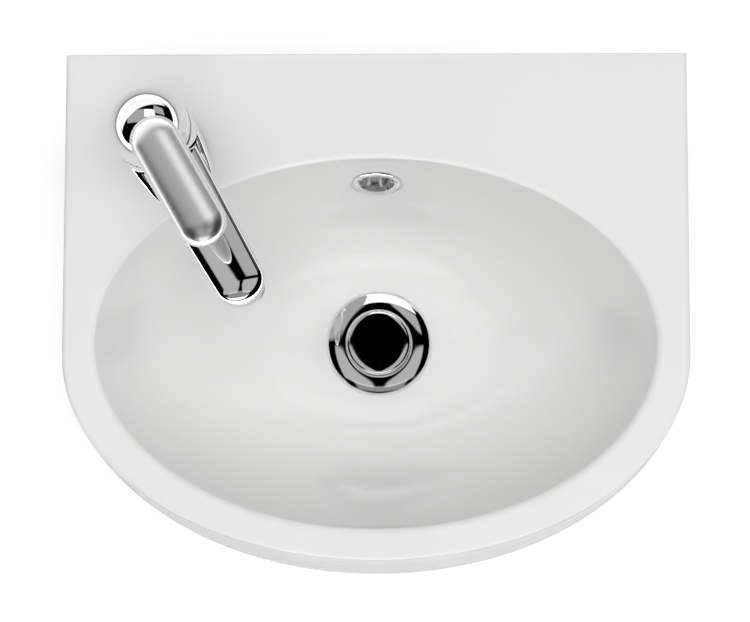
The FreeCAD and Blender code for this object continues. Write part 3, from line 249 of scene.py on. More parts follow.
def basinGrid():
    # one closed skin: drain seat, bowl, rounded bowl edge, ledge, rounded rim, apron, underside, foot, drain hole
    s = basinSizes
    top = s["rimHeight"]
    rim, normal = basinOutline(s["halfWidth"], s["levels"][0][2])
    theta = np.arctan2((rim[:, 1] + s["bowlFromWall"]) / s["bowlHalfDepth"], rim[:, 0] / s["bowlHalfWidth"])
    edge = bowlPoint(np.ones_like(theta), theta)
    bowlNormal = np.column_stack([np.cos(theta) / s["bowlHalfWidth"], np.sin(theta) / s["bowlHalfDepth"]])
    steep = np.linalg.norm(bowlNormal, axis=1)
    bowlNormal = bowlNormal / steep[:, None]
    slope = np.arctan(4 * s["bowlDepth"] * steep)
    reach = s["bowlEdge"] * np.tan(slope / 2)
    shareTop = (1 - reach * np.sin(slope) / s["bowlDepth"]) ** 0.25
    drain = np.array([0, -s["bowlFromWall"] + s["setback"]])
    round2 = np.column_stack([np.cos(theta), np.sin(theta)])

    def level(radius, drop):
        return np.column_stack([drain + radius * round2, np.full(len(theta), top - drop)])

    # drain hole with its broken edge, then the flange's flat seat
    deep, hole, seat, seatEdge = s["bowlDepth"], s["drainRadius"], s["recessRadius"], s["recessEdge"]
    rows = [level(hole, drop) for drop in (s["height"], deep + 6, deep + s["drainEdge"])]
    rows += [level(radius, deep) for radius in (hole + s["drainEdge"], seat - 1, seat)]
    # the seat's wall runs up to the bowl's own surface, then the floor spreads from the circle to the ellipses
    shareStart = s["floorShare"]
    start = bowlPoint(np.full_like(theta, shareStart), theta)
    for k in np.linspace(0, 1, 9):
        flat = (1 - k) * (drain + (seat + seatEdge) * round2) + k * start[:, :2]
        share = np.full_like(theta, 0.35)  # a first guess, closed in on by a few rounds
        for _ in range(8):
            behind = flat[:, 1] + s["bowlFromWall"] - s["setback"] * (1 - share ** 4)
            share = np.hypot(flat[:, 0] / s["bowlHalfWidth"], behind / s["bowlHalfDepth"])
        depth = deep * (1 - share ** 4)
        if k == 0:
            rows.append(np.column_stack([drain + seat * round2, top - depth - seatEdge]))
        rows.append(np.column_stack([flat, top - depth]))
    climb = np.linspace(0, 1, s["wallRows"])[1:] ** 0.8  # rows closer together near the rim
    rows += [bowlPoint(shareStart + (shareTop - shareStart) * k, theta) for k in climb]
    ledgeIn = edge + np.column_stack([bowlNormal * reach[:, None], 0 * theta])
    wallTop = rows[-1]
    weight = np.sin((np.pi - slope) / 2)[:, None]
    rows += [cornerArc(wallTop, edge, ledgeIn, k, weight) for k in np.linspace(0, 1, 10)[1:]]
    # inset of the rim edge: normal to the outline, both ways at the two back corners
    isBack = np.arange(len(theta)) < s["columns"][0]
    corner = np.isin(np.arange(len(theta)), [0, s["columns"][0]])
    inset = normal * np.where(isBack, s["backEdge"], s["rimEdge"])[:, None]
    inset[corner] = np.column_stack([np.sign(rim[corner, 0]) * s["rimEdge"], np.full(corner.sum(), s["backEdge"])])
    fall = np.where(isBack, s["backEdge"], s["rimEdge"])
    fall[corner] = s["cornerDrop"]
    ledgeOut = np.column_stack([rim - inset, np.full(len(theta), top)])
    rows += [ledgeIn + (ledgeOut - ledgeIn) * k for k in np.linspace(0, 1, s["ledgeRows"])[1:]]
    drops = np.array([lv[0] for lv in s["levels"]], float)
    sizes = np.array([lv[1:] for lv in s["levels"]], float)
    run = np.concatenate([[0], np.cumsum(np.linalg.norm(np.diff(np.column_stack([drops, sizes]), axis=0), axis=1))])
    for k in np.linspace(0, np.pi / 2, 8)[1:]:
        rows.append(np.column_stack([rim - inset * (1 - np.sin(k)), top - fall * (1 - np.cos(k))]))
    for k in np.linspace(0, run[-1], s["underRows"])[1:]:
        drop, width, bulge = cubicThrough(run, np.column_stack([drops, sizes]), np.array([k]))[0]
        if drop < s["apronFrom"]:  # the rim's round reaches this far
            continue
        outline, _ = basinOutline(min(width, s["halfWidth"]), bulge)
        rows.append(np.column_stack([outline, np.full(len(theta), top - drop)]))
    foot = rows[-1]
    rows.append(foot * 0.5 + rows[0] * 0.5)
    return np.stack(rows), True, True


def ductPath():
    # centre line of the overflow's way: leaning run, bend, level run to the drain hole
    s = basinSizes
    lean, behind, bend, below = s["duct"][2:]
    centre, tilt = overflowPlace()
    lean = math.radians(lean)
    topFrom = -centre[1] - behind * math.cos(tilt)
    topDrop = s["rimHeight"] - centre[2] + behind * math.sin(tilt)
    low = s["bowlDepth"] + below
    corner = topFrom + (low - topDrop) * math.tan(lean)
    back = bend * math.tan(math.pi / 4 - lean / 2)
    end = s["bowlFromWall"] - s["setback"] - s["drainRadius"] / 2
    turn = np.linspace(0, math.pi / 2 - lean, 14)
    y = np.concatenate([[topFrom], corner + back - bend * np.sin(math.pi / 2 - lean - turn), [end]])
    z = np.concatenate([[-topDrop], -low + bend - bend * np.cos(math.pi / 2 - lean - turn), [-low]])
    return np.column_stack([0 * y, -y, s["rimHeight"] + z])


def tubeGrid(path, radius, cols=32):
    # a round section carried along a path in the Y-Z plane
    way = np.gradient(path, axis=0)
    way /= np.linalg.norm(way, axis=1)[:, None]
    side = np.tile([1.0, 0, 0], (len(path), 1))
    return tubeAlong(path, side, np.cross(way, side), radius, cols)


def overflowPlace():
    # the overflow's middle on the bowl's back wall, and how far that wall leans from upright
    s = basinSizes
    left = 1 - s["overflowDrop"] / s["bowlDepth"]
    fromWall = s["bowlFromWall"] - s["setback"] * s["overflowDrop"] / s["bowlDepth"]
    fromWall -= s["bowlHalfDepth"] * left ** 0.25
    tilt = math.atan((s["bowlHalfDepth"] / (4 * left ** 0.75) - s["setback"]) / s["bowlDepth"])
    return np.array([0, -fromWall, s["rimHeight"] - s["overflowDrop"]]), tilt


def intoOverflow(grid):
    # local Z comes out of the bowl's back wall
    points, wrapRows, wrapCols = grid
    centre, tilt = overflowPlace()
    turn = math.pi / 2 - tilt
    y = points[..., 1] * math.cos(turn) - points[..., 2] * math.sin(turn)
    z = points[..., 1] * math.sin(turn) + points[..., 2] * math.cos(turn)
    return np.stack([points[..., 0], y, z], axis=-1) + centre, wrapRows, wrapCols


def outerBowlGrid():
    # outside of the bowl's wall, as the same kind of surface grown by the wall and the floor
    s = basinSizes
    theta = np.linspace(0, 2 * np.pi, 160, endpoint=False)[None, :]
    share = np.concatenate([[0.0], np.linspace(0.06, 0.99, 40), [0.99, 0.0]])[:, None]
    sunk = 1 - share ** 4
    z = s["rimHeight"] - (s["bowlDepth"] + s["floor"]) * sunk
    z[-2:] = s["rimHeight"] + 2  # a flat lid just past the rim closes it
    wide, deep = s["bowlHalfWidth"] + s["wall"], s["bowlHalfDepth"] + s["wall"]
    points = np.stack([wide * share * np.cos(theta),
                       -s["bowlFromWall"] + s["setback"] * sunk + deep * share * np.sin(theta),
                       z + 0 * theta], axis=-1)
    return points, False, True


def makeBasin():
    s = basinSizes
    drain = (0, -s["bowlFromWall"] + s["setback"])
    bore, ductWall = s["duct"][:2]
    piece = addPiece("glazedBasin", [basinGrid()])
    hollow = addPiece("hollow", [boxGrid(*s["niche"])])
    plateHalf, plateLow, plateBack = s["underPlate"]
    plateTop = s["rimHeight"] - s["plateDrop"]
    under = boxGrid((-plateHalf, -s["bowlFromWall"], plateLow), (plateHalf, plateBack, plateTop))
    carveGrid(hollow, "underPlate", under, "UNION")
    carveGrid(hollow, "bowlBack", outerBowlGrid())
    carveGrid(hollow, "footBack", rodGrid(s["footRadius"], -s["height"] + s["rimHeight"], 0, 96, drain))
    carveGrid(hollow, "ductBack", tubeGrid(ductPath(), bore + ductWall, 48))
    radius, deep, high = s["overflowBoss"]
    carveGrid(hollow, "bossBack", intoOverflow(rodGrid(radius, -deep, high, 64)))
    carve(piece, hollow)
    carveGrid(piece, "ductWay", tubeGrid(ductPath(), bore, 32))
    for name, (radius, deep), cols in (("mouth", s["overflowHole"], 96), ("mouthSeat", s["overflowSeat"], 128)):
        carveGrid(piece, name, intoOverflow(rodGrid(radius, -deep, s["drillAbove"], cols)))
    x, y, radius, low, high = s["tapHole"]
    carveGrid(piece, "tapHole", rodGrid(radius, low, high, 96, (x, y)))
    spread, radius, half = s["fixing"]
    for side in (-1, 1):
        points, wrapRows, wrapCols = rodGrid(radius, -half, half, 48)
        lying = np.stack([points[..., 0] + side * spread, points[..., 2], points[..., 1]], axis=-1)
        carveGrid(piece, "fixing", (lying, wrapRows, wrapCols))
    smoothOver(piece, 28)
    settle(piece, "basin_frame", "glaze", "basin")
    return piece


basin = makeBasin()
print("basin", len(basin.data.polygons), "faces")


# waste and plug: heights above the bowl's floor at the drain

wasteSizes = {
    "centre": (0.0, -161.1, -45.0), "flange": 31.85, "flangeHeight": 4.2, "domeFrom": 21.6, "domeFall": 1.3,
    "edge": 0.7, "lip": 1.2, "lift": 0.2, "underside": 1.5, "seatWidth": 3.2, "seatDepth": 3.0, "seatBreak": 0.25,
    "bore": 17.8, "tail": 20.955, "neck": 20.705, "tailLength": 78.0, "neckFrom": -45.0,
    "pitch": 2.309, "threadDepth": 0.9,
    "hub": (6.6, 9.2, -44.0, -34.0), "hubRounds": (0.3, 0.8, 0.8, 0.3), "spoke": 3.0,  # radii, low and high end
    "window": (12.0, -18.0, -8.0, 2.0, 40.0),  # width, low and high end, and the cut's two ends along the radius
}


def threadGrid(inner, radius, low, high, pitch, depth, cols=72, rowsPerTurn=9):
    # helical ridges: the radius follows a rounded saw of height over pitch minus turn, fading out at both ends
    count = int((high - low) / pitch * rowsPerTurn)
    z = np.linspace(low, high, count)[:, None]
    angle = np.linspace(0, 2 * np.pi, cols, endpoint=False)[None, :]
    wave = 0.5 - 0.5 * np.cos(2 * np.pi * z / pitch - angle)
    fade = np.clip(np.minimum(z - low, high - z) / pitch, 0, 1)
    r = radius - depth * (wave ** 0.8) * fade
    r[0] = r[-1] = radius - depth * 0.6
    r = np.pad(r, ((1, 1), (0, 0)), constant_values=inner)
    z = np.pad(z, ((1, 1), (0, 0)), mode="edge")
    return np.stack([r * np.cos(angle), r * np.sin(angle), z + 0 * angle], axis=-1), True, True


def spunBox(low, high, share):
    # a box turned about the vertical axis by a share of a full turn
    points, wrapRows, wrapCols = boxGrid(low, high)
    a = 2 * np.pi * share
    x = points[..., 0] * np.cos(a) - points[..., 1] * np.sin(a)
    y = points[..., 0] * np.sin(a) + points[..., 1] * np.cos(a)
    return np.stack([x, y, points[..., 2]], axis=-1), wrapRows, wrapCols


def shift(grid, offset):
    points, wrapRows, wrapCols = grid
    return points + np.asarray(offset, float), wrapRows, wrapCols


def makeWaste():
    s = wasteSizes
    lip = s["flange"] - s["lip"]
    seatTop = s["flangeHeight"]
    seatIn = s["bore"] + s["seatWidth"]
    # domed flange: its height falls by the square of the way out, then a small round edge down to the foot
    out = np.linspace(1, 0, 26)
    domeX = s["domeFrom"] + (s["flange"] - s["edge"] - s["domeFrom"]) * out
    domeZ = seatTop - s["domeFall"] * out ** 2
    a = np.linspace(0, np.pi / 2, 7)[:-1]
    foot = domeZ[0] - s["edge"]
    edge = np.column_stack([s["flange"] - s["edge"] + s["edge"] * np.cos(a), foot + s["edge"] * np.sin(a)])
    seatLow, nick = seatTop - s["seatDepth"], s["seatBreak"]
    neck = [(s["bore"], s["neckFrom"]), (s["neck"], s["neckFrom"]), (s["neck"], s["underside"]),
            (lip, s["underside"]), (lip, s["lift"]), (s["flange"] - 0.3, s["lift"])]
    cone = [(seatIn + 0.05, seatTop - 0.02), (seatIn - nick, seatTop - nick),
            (s["bore"] + 0.2, seatLow + 0.2), (s["bore"], seatLow)]
    profile = np.concatenate([neck, edge, np.column_stack([domeX, domeZ]), cone])
    shell = addPiece("wasteShell", [shift(turnedGrid(profile, 160), s["centre"])])
    width, low, high, near, far = s["window"]
    for k in range(4):
        window = spunBox((near, -width / 2, low), (far, width / 2, high), (k + 0.5) / 4)
        carveGrid(shell, "window", shift(window, s["centre"]))
    tailTop = s["neckFrom"] + 0.01  # a hair of overlap with the neck
    tail = threadGrid(s["bore"], s["tail"], -s["tailLength"], tailTop, s["pitch"], s["threadDepth"])
    hubIn, hubOut, hubLow, hubHigh = s["hub"]
    hubPath = [(hubIn, hubLow), (hubOut, hubLow), (hubOut, hubHigh), (hubIn, hubHigh)]
    hub = turnedGrid(roundedPath(hubPath, s["hubRounds"], 4), 64)
    half = s["spoke"] / 2
    spokeLow, spokeHigh = (hubOut - 1, -half, hubLow + 0.2), (s["bore"] + 1, half, hubHigh - 0.2)
    spokes = [spunBox(spokeLow, spokeHigh, k / 3) for k in range(3)]
    inside = addPiece("wasteTail", [shift(grid, s["centre"]) for grid in [tail, hub] + spokes])
    smoothOver(shell, 30)
    smoothOver(inside, 40)
    settle(shell, "basin_frame", "chrome", "waste_body")
    settle(inside, "basin_frame", "chrome")
    return shell, inside


plugSizes = {"radius": 20.25, "low": 11.3, "top": 17.1, "fall": 1.0, "power": 20, "edge": 0.35,
             "underBreak": (0.9, 0.6, 0.3), "boss": (5.5, 6.0)}


def makePlug():
    # button: height falls by a high power of the way out, so the middle is nearly flat; then a crisp round edge
    s = plugSizes
    out = np.linspace(1, 0, 48) ** 0.7
    dome = np.column_stack([(s["radius"] - s["edge"]) * out, s["top"] - s["fall"] * out ** s["power"]])
    a = np.linspace(0, np.pi / 2, 6)[:-1]
    shoulder = np.column_stack([s["radius"] - s["edge"] + s["edge"] * np.cos(a),
                                s["top"] - s["fall"] - s["edge"] * (1 - np.sin(a))])
    bossRadius, bossHeight = s["boss"]
    inner, outer, up = s["underBreak"]
    under = np.array([(0, s["low"] - bossHeight), (bossRadius, s["low"] - bossHeight), (bossRadius, s["low"]),
                      (s["radius"] - inner, s["low"]), (s["radius"] - outer, s["low"] + up)])
    grid, _, _ = turnedGrid(np.concatenate([under, shoulder, dome]), 128, wasteSizes["centre"])
    piece = addPiece("plugButton", [(grid, False, True)])
    smoothOver(piece, 50)
    settle(piece, "waste_plug", "chrome", "plug_cap")
    return piece


# the click spring's two ends are heights from the wall fixings
springSizes = {"coil": 3.9, "wire": 0.48, "low": -89.52, "high": -63.58, "turns": 7, "travel": 8.0, "perTurn": 30}


def springGrid():
    # a round wire carried along a helix about the waste's axis
    s = springSizes
    x, y, _ = wasteSizes["centre"]
    long = s["high"] - s["low"]
    along = np.linspace(0, 1, s["turns"] * s["perTurn"] + 1)[:, None]
    turn = 2 * np.pi * s["turns"] * along
    climb = long / (2 * np.pi * s["turns"] * s["coil"])
    outward = np.concatenate([np.cos(turn), np.sin(turn), 0 * turn], axis=1)
    way = np.concatenate([-np.sin(turn), np.cos(turn), 0 * turn + climb], axis=1)
    up = np.cross(outward, way / np.linalg.norm(way, axis=1)[:, None])
    line = outward * s["coil"] + np.array([x, y, 0]) + np.array([0, 0, 1]) * (s["low"] + long * along)
    return tubeAlong(line, outward, up, s["wire"], 12)


def makeSpring():
    piece = addPiece("clickSpring", [springGrid()])
    smoothOver(piece, 60)
    settle(piece, "basin_frame", "spring_steel", "click_spring")
    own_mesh(piece)
    return piece


waste = makeWaste()
button = makePlug()
spring = makeSpring()
print("waste and plug")


# overflow ring: measured from the bowl's back wall

ringSizes = {"outer": 14.5, "sleeve": 11.7, "throat": 10.5, "rise": 1.4, "sunk": 0.8, "length": 12.0}


def makeOverflowRing():
    # domed face between the sleeve and the outer edge, soft lip into the throat
    s = ringSizes
    a = np.linspace(0, np.pi / 2, 14)
    face = np.column_stack([s["sleeve"] + (s["outer"] - s["sleeve"]) * np.cos(a), s["rise"] * np.sin(a)])
    lip = np.column_stack([s["throat"] + (s["sleeve"] - s["throat"]) * np.cos(a[1:]),
                           s["rise"] * (0.5 + 0.5 * np.cos(a[1:]))])
    sleeve = [(s["throat"], -s["length"]), (s["sleeve"], -s["length"]),
              (s["sleeve"], -s["sunk"]), (s["outer"], -s["sunk"])]
    profile = np.concatenate([sleeve, face, lip])
    piece = addPiece("overflowTrim", [intoOverflow(turnedGrid(profile, 128))])
    smoothOver(piece, 40)
    settle(piece, "basin_frame", "chrome", "overflow_ring")
    return piece


overflowRing = makeOverflowRing()
print("overflow ring")


# tap: heights above the ledge, lengths out along the spout

tapSizes = {
    "place": (-118.0, -59.5, 60.0), "turn": 60.0,
    "body": 22.0, "gasket": 2.0, "collarTop": 85.5, "collarLip": (21.5, 79.5), "collarBore": 20.8,
    "collarFloor": 73.0, "spigot": (16.5, -8.0), "rounds": (0, 0.5, 0.3, 0.6, 0.2, 0.15, 3, 0.5, 0),
    "spoutRoot": 17.4, "spoutTip": 14.4, "reach": 91.5, "rootTop": 66.0, "tipTop": 63.0,
    "rootBottom": 34.0, "rootAhead": 16.0, "tipBottom": 44.0, "flatLength": 17.0,
    "spoutEdge": 3.2, "noseEdge": 9.0, "underEdge": 3.0, "crown": 1.3, "draft": 0.4,
    "chamber": (11.0, 20.0, 53.1),  # radius, low and high end
    "inlet": (4.5, 4.0, 7.5, -20.0, 6.0),  # radius, way back, way to the side, low and high end
}


def intoTap(grid):
    # local X runs out along the spout, local Z stands on the ledge
    points, wrapRows, wrapCols = grid
    a = math.radians(-tapSizes["turn"])
    x = points[..., 0] * math.cos(a) - points[..., 1] * math.sin(a)
    y = points[..., 0] * math.sin(a) + points[..., 1] * math.cos(a)
    return np.stack([x, y, points[..., 2]], axis=-1) + np.array(tapSizes["place"]), wrapRows, wrapCols


def slabGrid(outline, normal, spine, bottom, top, underEdge, topEdge, crown=0.0, draft=0.0, rows=9):
    # a slab closed on its spine: the top falls by the crown times the square of the way out, then turns over an
    # arc; sides lean out by the draft down to the lower arc; bottom and top are heights as functions of X
    under = outline - normal * underEdge[:, None]
    grid = []
    for k in np.linspace(0, 1, rows):
        flat = spine + (under - spine) * k
        grid.append(np.column_stack([flat, bottom(flat[:, 0])]))
    for a in np.linspace(0, np.pi / 2, rows)[1:]:
        flat = outline - normal * (underEdge * (1 - np.sin(a)))[:, None]
        grid.append(np.column_stack([flat, bottom(flat[:, 0]) + underEdge * (1 - np.cos(a))]))
    rim = outline - normal * draft
    lean = np.arctan(2 * crown / np.linalg.norm(rim - normal * topEdge[:, None] - spine, axis=1).clip(1))
    inner = rim - normal * (topEdge * (1 - np.sin(lean)))[:, None]
    for k in np.linspace(1, 0, rows)[:-1]:
        a = lean + (np.pi / 2 - lean) * k
        flat = rim - normal * (topEdge * (1 - np.sin(a)))[:, None]
        grid.append(np.column_stack([flat, top(flat[:, 0]) - crown - topEdge * (np.cos(lean) - np.cos(a))]))
    for k in np.linspace(1, 0, 2 * rows):
        flat = spine + (inner - spine) * k
        grid.append(np.column_stack([flat, top(flat[:, 0]) - crown * k ** 2]))
    return np.stack(grid), False, True


def spoutGrid():
    # plan: root line, tapering sides, half round nose; the edge radius grows round the nose
    s = tapSizes
    side = np.linspace(0, 1, 70)
    nose = np.linspace(-np.pi / 2, np.pi / 2, 61)[1:-1]
    root = np.linspace(1, -1, 15)[1:-1]
    half = s["spoutRoot"] + (s["spoutTip"] - s["spoutRoot"]) * side
    x = np.concatenate([s["reach"] * side, s["reach"] + s["spoutTip"] * np.cos(nose),
                        s["reach"] * side[::-1], 0 * root])
    y = np.concatenate([-half, s["spoutTip"] * np.sin(nose), half[::-1], s["spoutRoot"] * root])
    nx = np.concatenate([0 * side, np.cos(nose), 0 * side, 0 * root])
    ny = np.concatenate([-1 + 0 * side, np.sin(nose), 1 + 0 * side, 0 * root])
    edgeSide, edgeMore = s["spoutEdge"], s["noseEdge"] - s["spoutEdge"]
    edge = np.concatenate([0 * side + edgeSide, edgeSide + edgeMore * np.cos(nose) ** 2,
                           0 * side + edgeSide, 0 * root + edgeSide])
    outline = np.column_stack([x, y])
    spine = np.column_stack([np.minimum(x, s["reach"]), 0 * y])
    ahead = s["reach"] - s["flatLength"]

    def bottom(at):
        return np.interp(at, [s["rootAhead"], ahead], [s["rootBottom"], s["tipBottom"]])

    def top(at):
        return s["rootTop"] + (s["tipTop"] - s["rootTop"]) * at / (s["reach"] + s["spoutTip"])

    return slabGrid(outline, np.column_stack([nx, ny]), spine, bottom, top,
                    0 * edge + s["underEdge"], edge, s["crown"], s["draft"])


shoulderSizes = {
    "wide": 21.9, "narrow": 14.4, "length": 35.0, "low": 48.0, "high": 61.5, "power": 0.7,
    "edge": 4.0, "edgeFade": 14.0, "edgeLeast": 0.03, "crown": 0.6, "spineShort": 12.0,
}


def shoulderGrid():
    # plan: half round behind, then sides that close in by a power of one minus the square of the way out
    s = shoulderSizes
    wide, narrow, length = s["wide"], s["narrow"], s["length"]
    turn = np.linspace(np.pi / 2, 3 * np.pi / 2, 40)
    out = np.sin(np.linspace(0, np.pi / 2, 40))[1:]
    half = narrow + (wide - narrow) * (1 - out ** 2) ** s["power"]
    front = np.linspace(-1, 1, 10)[1:-1]
    x = np.concatenate([wide * np.cos(turn), length * out, length + 0 * front, length * out[::-1]])
    y = np.concatenate([wide * np.sin(turn), -half, narrow * front, half[::-1]])
    outline = np.column_stack([x, y])
    along = np.roll(outline, -1, axis=0) - np.roll(outline, 1, axis=0)
    normal = np.column_stack([along[:, 1], -along[:, 0]]) / np.linalg.norm(along, axis=1)[:, None]
    spine = np.column_stack([np.clip(x, 0, length - s["spineShort"]), 0 * y])
    edges = s["edge"] * np.clip((length - x) / s["edgeFade"], s["edgeLeast"], 1)

    def bottom(at):
        return s["low"] + 0 * at

    def top(at):
        return s["high"] + 0 * at

    return slabGrid(outline, normal, spine, bottom, top, edges, edges, s["crown"])


def makeTapBody():
    s = tapSizes
    spigot, spigotLow = s["spigot"]
    lipRadius, lipLow = s["collarLip"]
    profile = roundedPath([(0, spigotLow), (spigot, spigotLow), (spigot, s["gasket"]), (s["body"], s["gasket"]),
                           (s["body"], s["collarTop"]), (lipRadius, s["collarTop"]), (s["collarBore"], lipLow),
                           (s["collarBore"], s["collarFloor"]), (0, s["collarFloor"])], s["rounds"], 7)
    barrelPoints, _, _ = turnedGrid(profile, 160)
    piece = addPiece("tapCasting", [intoTap((barrelPoints, False, True))])
    for name, grid in (("shoulder", shoulderGrid()), ("spout", spoutGrid())):
        carveGrid(piece, name, intoTap(grid), "UNION")
    radius, low, high = s["chamber"]
    carveGrid(piece, "chamber", intoTap(rodGrid(radius, low, high, 64, (s["reach"], 0))))
    radius, back, side, low, high = s["inlet"]
    for way in (-1, 1):
        carveGrid(piece, "inlet", intoTap(rodGrid(radius, low, high, 40, (-back, way * side))))
    smoothOver(piece, 26)
    settle(piece, "basin_frame", "chrome", "tap_body")
    return piece


leverSizes = {
    "pivot": 90.0, "ball": 21.8, "wall": 2.5, "skirtDrop": 8.5, "skirtTilt": 9.5,
    "start": -1.0, "end": 76.0, "halfWidth": 13.1, "arch": 7.0, "archPower": 2.2, "underEdge": 1.5,
    "bottom": (10.5, 26.5), "top": (26.5, 37.0),  # heights above the pivot at both ends
    "sunk": 0.4,  # how far the finger goes into the ball
}


def ballGrid():
    # thin ball cap: outside down to the slanting skirt, round its edge and back up the inside
    s = leverSizes
    angle = np.linspace(0, 2 * np.pi, 160, endpoint=False)[None, :]
    slant = math.tan(math.radians(s["skirtTilt"])) * np.cos(angle)

    def cap(radius, share):
        reach = np.arctan2(slant, 1) + np.arccos(-s["skirtDrop"] / radius / np.hypot(1, slant))
        return ballPoints(radius, reach * share, angle, s["pivot"])

    share = np.linspace(0, 1, 60)[:, None]
    return np.concatenate([cap(s["ball"], share), cap(s["ball"] - s["wall"], share[::-1])]), False, True


def capGrid(radius):
    # a full ball about the lever's pivot
    polar = np.linspace(0, np.pi, 40)[:, None]
    angle = np.linspace(0, 2 * np.pi, 80, endpoint=False)[None, :]
    return ballPoints(radius, polar, angle, leverSizes["pivot"]), False, True


def fingerGrid():
    # plan: straight sides with two half round ends; the crowned top climbs towards the tip
    s = leverSizes
    half = s["halfWidth"]
    back, front = s["start"] + half, s["end"] - half
    side = np.linspace(0, 1, 48)[:-1]
    nose = np.linspace(-np.pi / 2, np.pi / 2, 60)[:-1]
    tail = np.linspace(np.pi / 2, 3 * np.pi / 2, 60)[:-1]
    x = np.concatenate([back + (front - back) * side, front + half * np.cos(nose),
                        front - (front - back) * side, back + half * np.cos(tail)])
    y = np.concatenate([-half + 0 * side, half * np.sin(nose), half + 0 * side, half * np.sin(tail)])
    nx = np.concatenate([0 * side, np.cos(nose), 0 * side, np.cos(tail)])
    ny = np.concatenate([-1 + 0 * side, np.sin(nose), 1 + 0 * side, np.sin(tail)])
    outline, normal = np.column_stack([x, y]), np.column_stack([nx, ny])
    spine = np.column_stack([np.clip(x, back, front), 0 * y])

    def at(flat, ends, lift):
        along = (flat[:, 0] - s["start"]) / (s["end"] - s["start"])
        return np.column_stack([flat, s["pivot"] + ends[0] + (ends[1] - ends[0]) * along + lift])

    # flat underside with a small edge, upright side, then an arch that bulges to the spine like a squared ellipse
    under = outline - normal * s["underEdge"]
    rows = [at(spine + (under - spine) * k, s["bottom"], 0) for k in np.linspace(0, 1, 6)]
    for a in np.linspace(0, np.pi / 2, 6)[1:]:
        flat = outline - normal * s["underEdge"] * (1 - np.sin(a))
        rows.append(at(flat, s["bottom"], s["underEdge"] * (1 - np.cos(a))))
    for out in np.cos(np.linspace(0, np.pi / 2, 30)):
        lift = s["arch"] * ((1 - out ** s["archPower"]) ** 0.5 - 1)
        rows.append(at(spine + (outline - spine) * out, s["top"], lift))
    return np.stack(rows), False, True


def makeLever():
    s = leverSizes
    ball = addPiece("leverBall", [intoTap(ballGrid())])
    finger = addPiece("leverFinger", [intoTap(fingerGrid())])
    carveGrid(finger, "ballInside", intoTap(capGrid(s["ball"] - s["sunk"])))
    for piece in (ball, finger):
        smoothOver(piece, 26)
        settle(piece, "tap_lever", "chrome")
    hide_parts("lever_handle")
    return ball, finger


tap = makeTapBody()
lever = makeLever()
print("tap", len(tap.data.polygons), "lever", len(lever[0].data.polygons) + len(lever[1].data.polygons))


# materials

def newMaterial(name):
    material = bpy.data.materials.new(name)
    material.use_nodes = True
    tree = material.node_tree
    return material, tree, tree.nodes["Principled BSDF"]


def mathNode(tree, operation, second=None):
    node = tree.nodes.new("ShaderNodeMath")
    node.operation = operation
    if second is not None:
        node.inputs[1].default_value = second
    return node


def unevenGroup():
    # slow and fine noise on Object coordinates give a roughness and a colour between two values, and a height
    tree = bpy.data.node_groups.new("unevenSurface", "ShaderNodeTree")
    for name, kind, value in (("Slow Scale", "NodeSocketFloat", 20.0), ("Fine Scale", "NodeSocketFloat", 400.0),
                              ("Rough Low", "NodeSocketFloat", 0.1), ("Rough High", "NodeSocketFloat", 0.2),
                              ("Colour Low", "NodeSocketColor", (0.5, 0.5, 0.5, 1)),
                              ("Colour High", "NodeSocketColor", (0.6, 0.6, 0.6, 1))):
        tree.interface.new_socket(name, in_out="INPUT", socket_type=kind).default_value = value
    for name, kind in (("Colour", "NodeSocketColor"), ("Roughness", "NodeSocketFloat"),
                       ("Height", "NodeSocketFloat")):
        tree.interface.new_socket(name, in_out="OUTPUT", socket_type=kind)
    new, link = tree.nodes.new, tree.links.new
    ins, outs, place = new("NodeGroupInput"), new("NodeGroupOutput"), new("ShaderNodeTexCoord")
    slow, fine = new("ShaderNodeTexNoise"), new("ShaderNodeTexNoise")
    slow.inputs["Detail"].default_value, fine.inputs["Detail"].default_value = 3, 4
    blend, half = mathNode(tree, "MULTIPLY_ADD", 0.5), mathNode(tree, "MULTIPLY", 0.5)  # mean of both noises
    rough, tint = new("ShaderNodeMapRange"), new("ShaderNodeMix")
    tint.data_type = "RGBA"
    rough.inputs["From Min"].default_value, rough.inputs["From Max"].default_value = 0.3, 0.7
    for noise, scale in ((slow, "Slow Scale"), (fine, "Fine Scale")):
        link(place.outputs["Object"], noise.inputs["Vector"])
        link(ins.outputs[scale], noise.inputs["Scale"])
    link(fine.outputs["Fac"], half.inputs[0])
    link(slow.outputs["Fac"], blend.inputs[0])
    link(half.outputs[0], blend.inputs[2])
    link(blend.outputs[0], rough.inputs["Value"])
    link(ins.outputs["Rough Low"], rough.inputs["To Min"])
    link(ins.outputs["Rough High"], rough.inputs["To Max"])
    link(blend.outputs[0], tint.inputs["Factor"])
    link(ins.outputs["Colour Low"], tint.inputs["A"])
    link(ins.outputs["Colour High"], tint.inputs["B"])
    link(tint.outputs["Result"], outs.inputs["Colour"])
    link(rough.outputs["Result"], outs.inputs["Roughness"])
    link(fine.outputs["Fac"], outs.inputs["Height"])
    return tree


uneven = unevenGroup()


